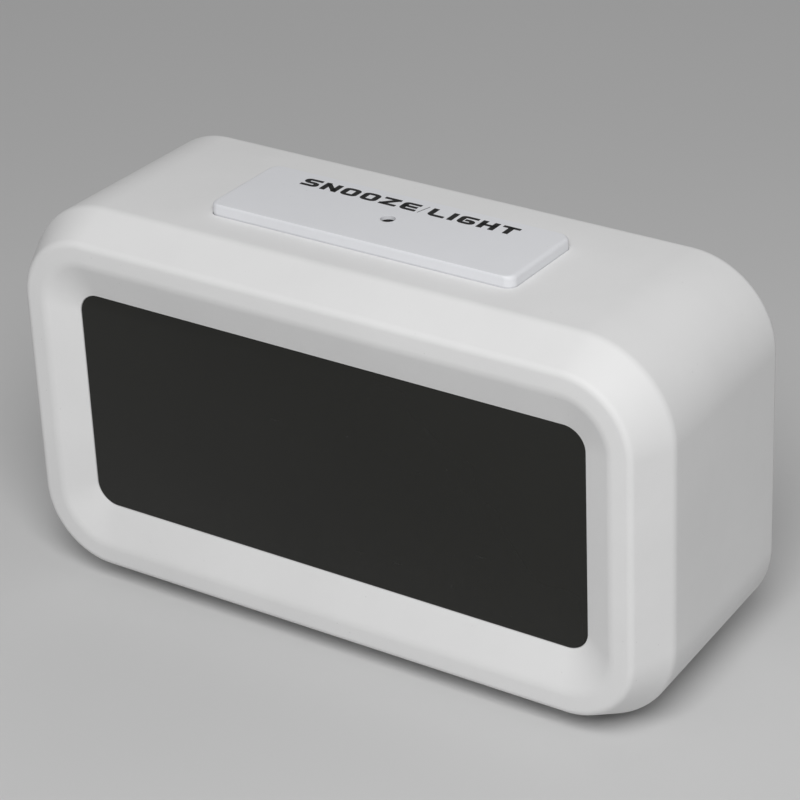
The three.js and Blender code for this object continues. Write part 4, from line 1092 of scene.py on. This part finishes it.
own_forms = [
    ("front_housing", "case", front_housing()),
    ("snooze_key", "snooze", snooze_key()),
    ("display_lens", "case", display_lens()),
    ("rear_cover", "case", rear_cover()),
    ("battery_cover", "lid", battery_cover()),
    ("sensor_slider", body_of(frame["nodes"]["sensor_slider"])[0], sensor_slider()),
    *((word + "_key", word, rear_key(word)) for word in REAR_KEYS),
    *(("rear_cover_screw_" + place, "case", cover_screw("rear_cover_screw_" + place)) for place in CORNERS),
]
for node, body, piece in own_forms:
    finish_piece(piece, body, SLOT_OF[node], MATERIALS[SLOT_OF[node]], node)
key_print()
carried_over({node for node, _, _ in own_forms})
rear_print()


# ---- Floor, light and camera ----

def stage():
    size = 3.0
    mesh = bpy.data.meshes.new("floor")
    corners = [(-size, -size, 0), (size, -size, 0), (size, size, 0), (-size, size, 0)]
    mesh.from_pydata(corners, [], [(0, 1, 2, 3)])
    floor = new_object("floor", mesh)
    m = Nodes("floor")
    m.colour(m.mix(m.noise(0.01, 3.0), (0.65, 0.65, 0.65), (0.67, 0.67, 0.67)))
    m.set(Roughness=0.75, Specular_IOR_Level=0.2)
    mesh.materials.append(m.material)


def area_light(name, place, size, watts, colour=(1.0, 1.0, 1.0)):
    light = bpy.data.lights.new(name, "AREA")
    light.shape = "DISK"
    light.size = size
    light.energy = watts
    light.color = colour
    lamp = new_object(name, light)
    lamp.location = place
    aim = Vector((0, 0, 0.04)) - Vector(place)
    lamp.rotation_euler = aim.to_track_quat("-Z", "Y").to_euler()
    return lamp


def lights():
    area_light("key_light", (0.24, -0.36, 0.52), 0.36, 2.9)
    fill = area_light("back_fill", (-0.45, 0.75, 0.10), 0.5, 1.3)
    fill.visible_glossy = False
    world = bpy.data.worlds.new("studio")
    bpy.context.scene.world = world
    world.use_nodes = True
    world.node_tree.nodes["Background"].inputs["Color"].default_value = (1.0, 1.0, 1.0, 1.0)
    world.node_tree.nodes["Background"].inputs["Strength"].default_value = 0.22


def camera():
    """The camera looks at a point near the middle of the case from the front right, and from above."""
    azimuth, elevation, roll = (math.radians(a) for a in (34.26, 28.76, -2.56))
    target, distance, lens = Vector((2.43, 0.0, 42.65)) * MM, 568.2 * MM, 141.4
    right = Vector((math.cos(azimuth), math.sin(azimuth), 0))
    back = Vector((math.sin(azimuth) * math.cos(elevation), -math.cos(azimuth) * math.cos(elevation),
                   math.sin(elevation)))
    up = back.cross(right)
    across = right * math.cos(roll) + up * math.sin(roll)
    upward = up * math.cos(roll) - right * math.sin(roll)
    data = bpy.data.cameras.new("camera")
    data.lens = lens
    data.sensor_width = 36.0
    data.clip_start, data.clip_end = 0.02, 20.0
    made = new_object("camera", data)
    place = Matrix((across, upward, back)).transposed().to_4x4()
    place.translation = target + back * distance
    made.matrix_world = place
    bpy.context.scene.camera = made


stage()
lights()
camera()
bpy.context.scene.view_settings.view_transform = "Standard"
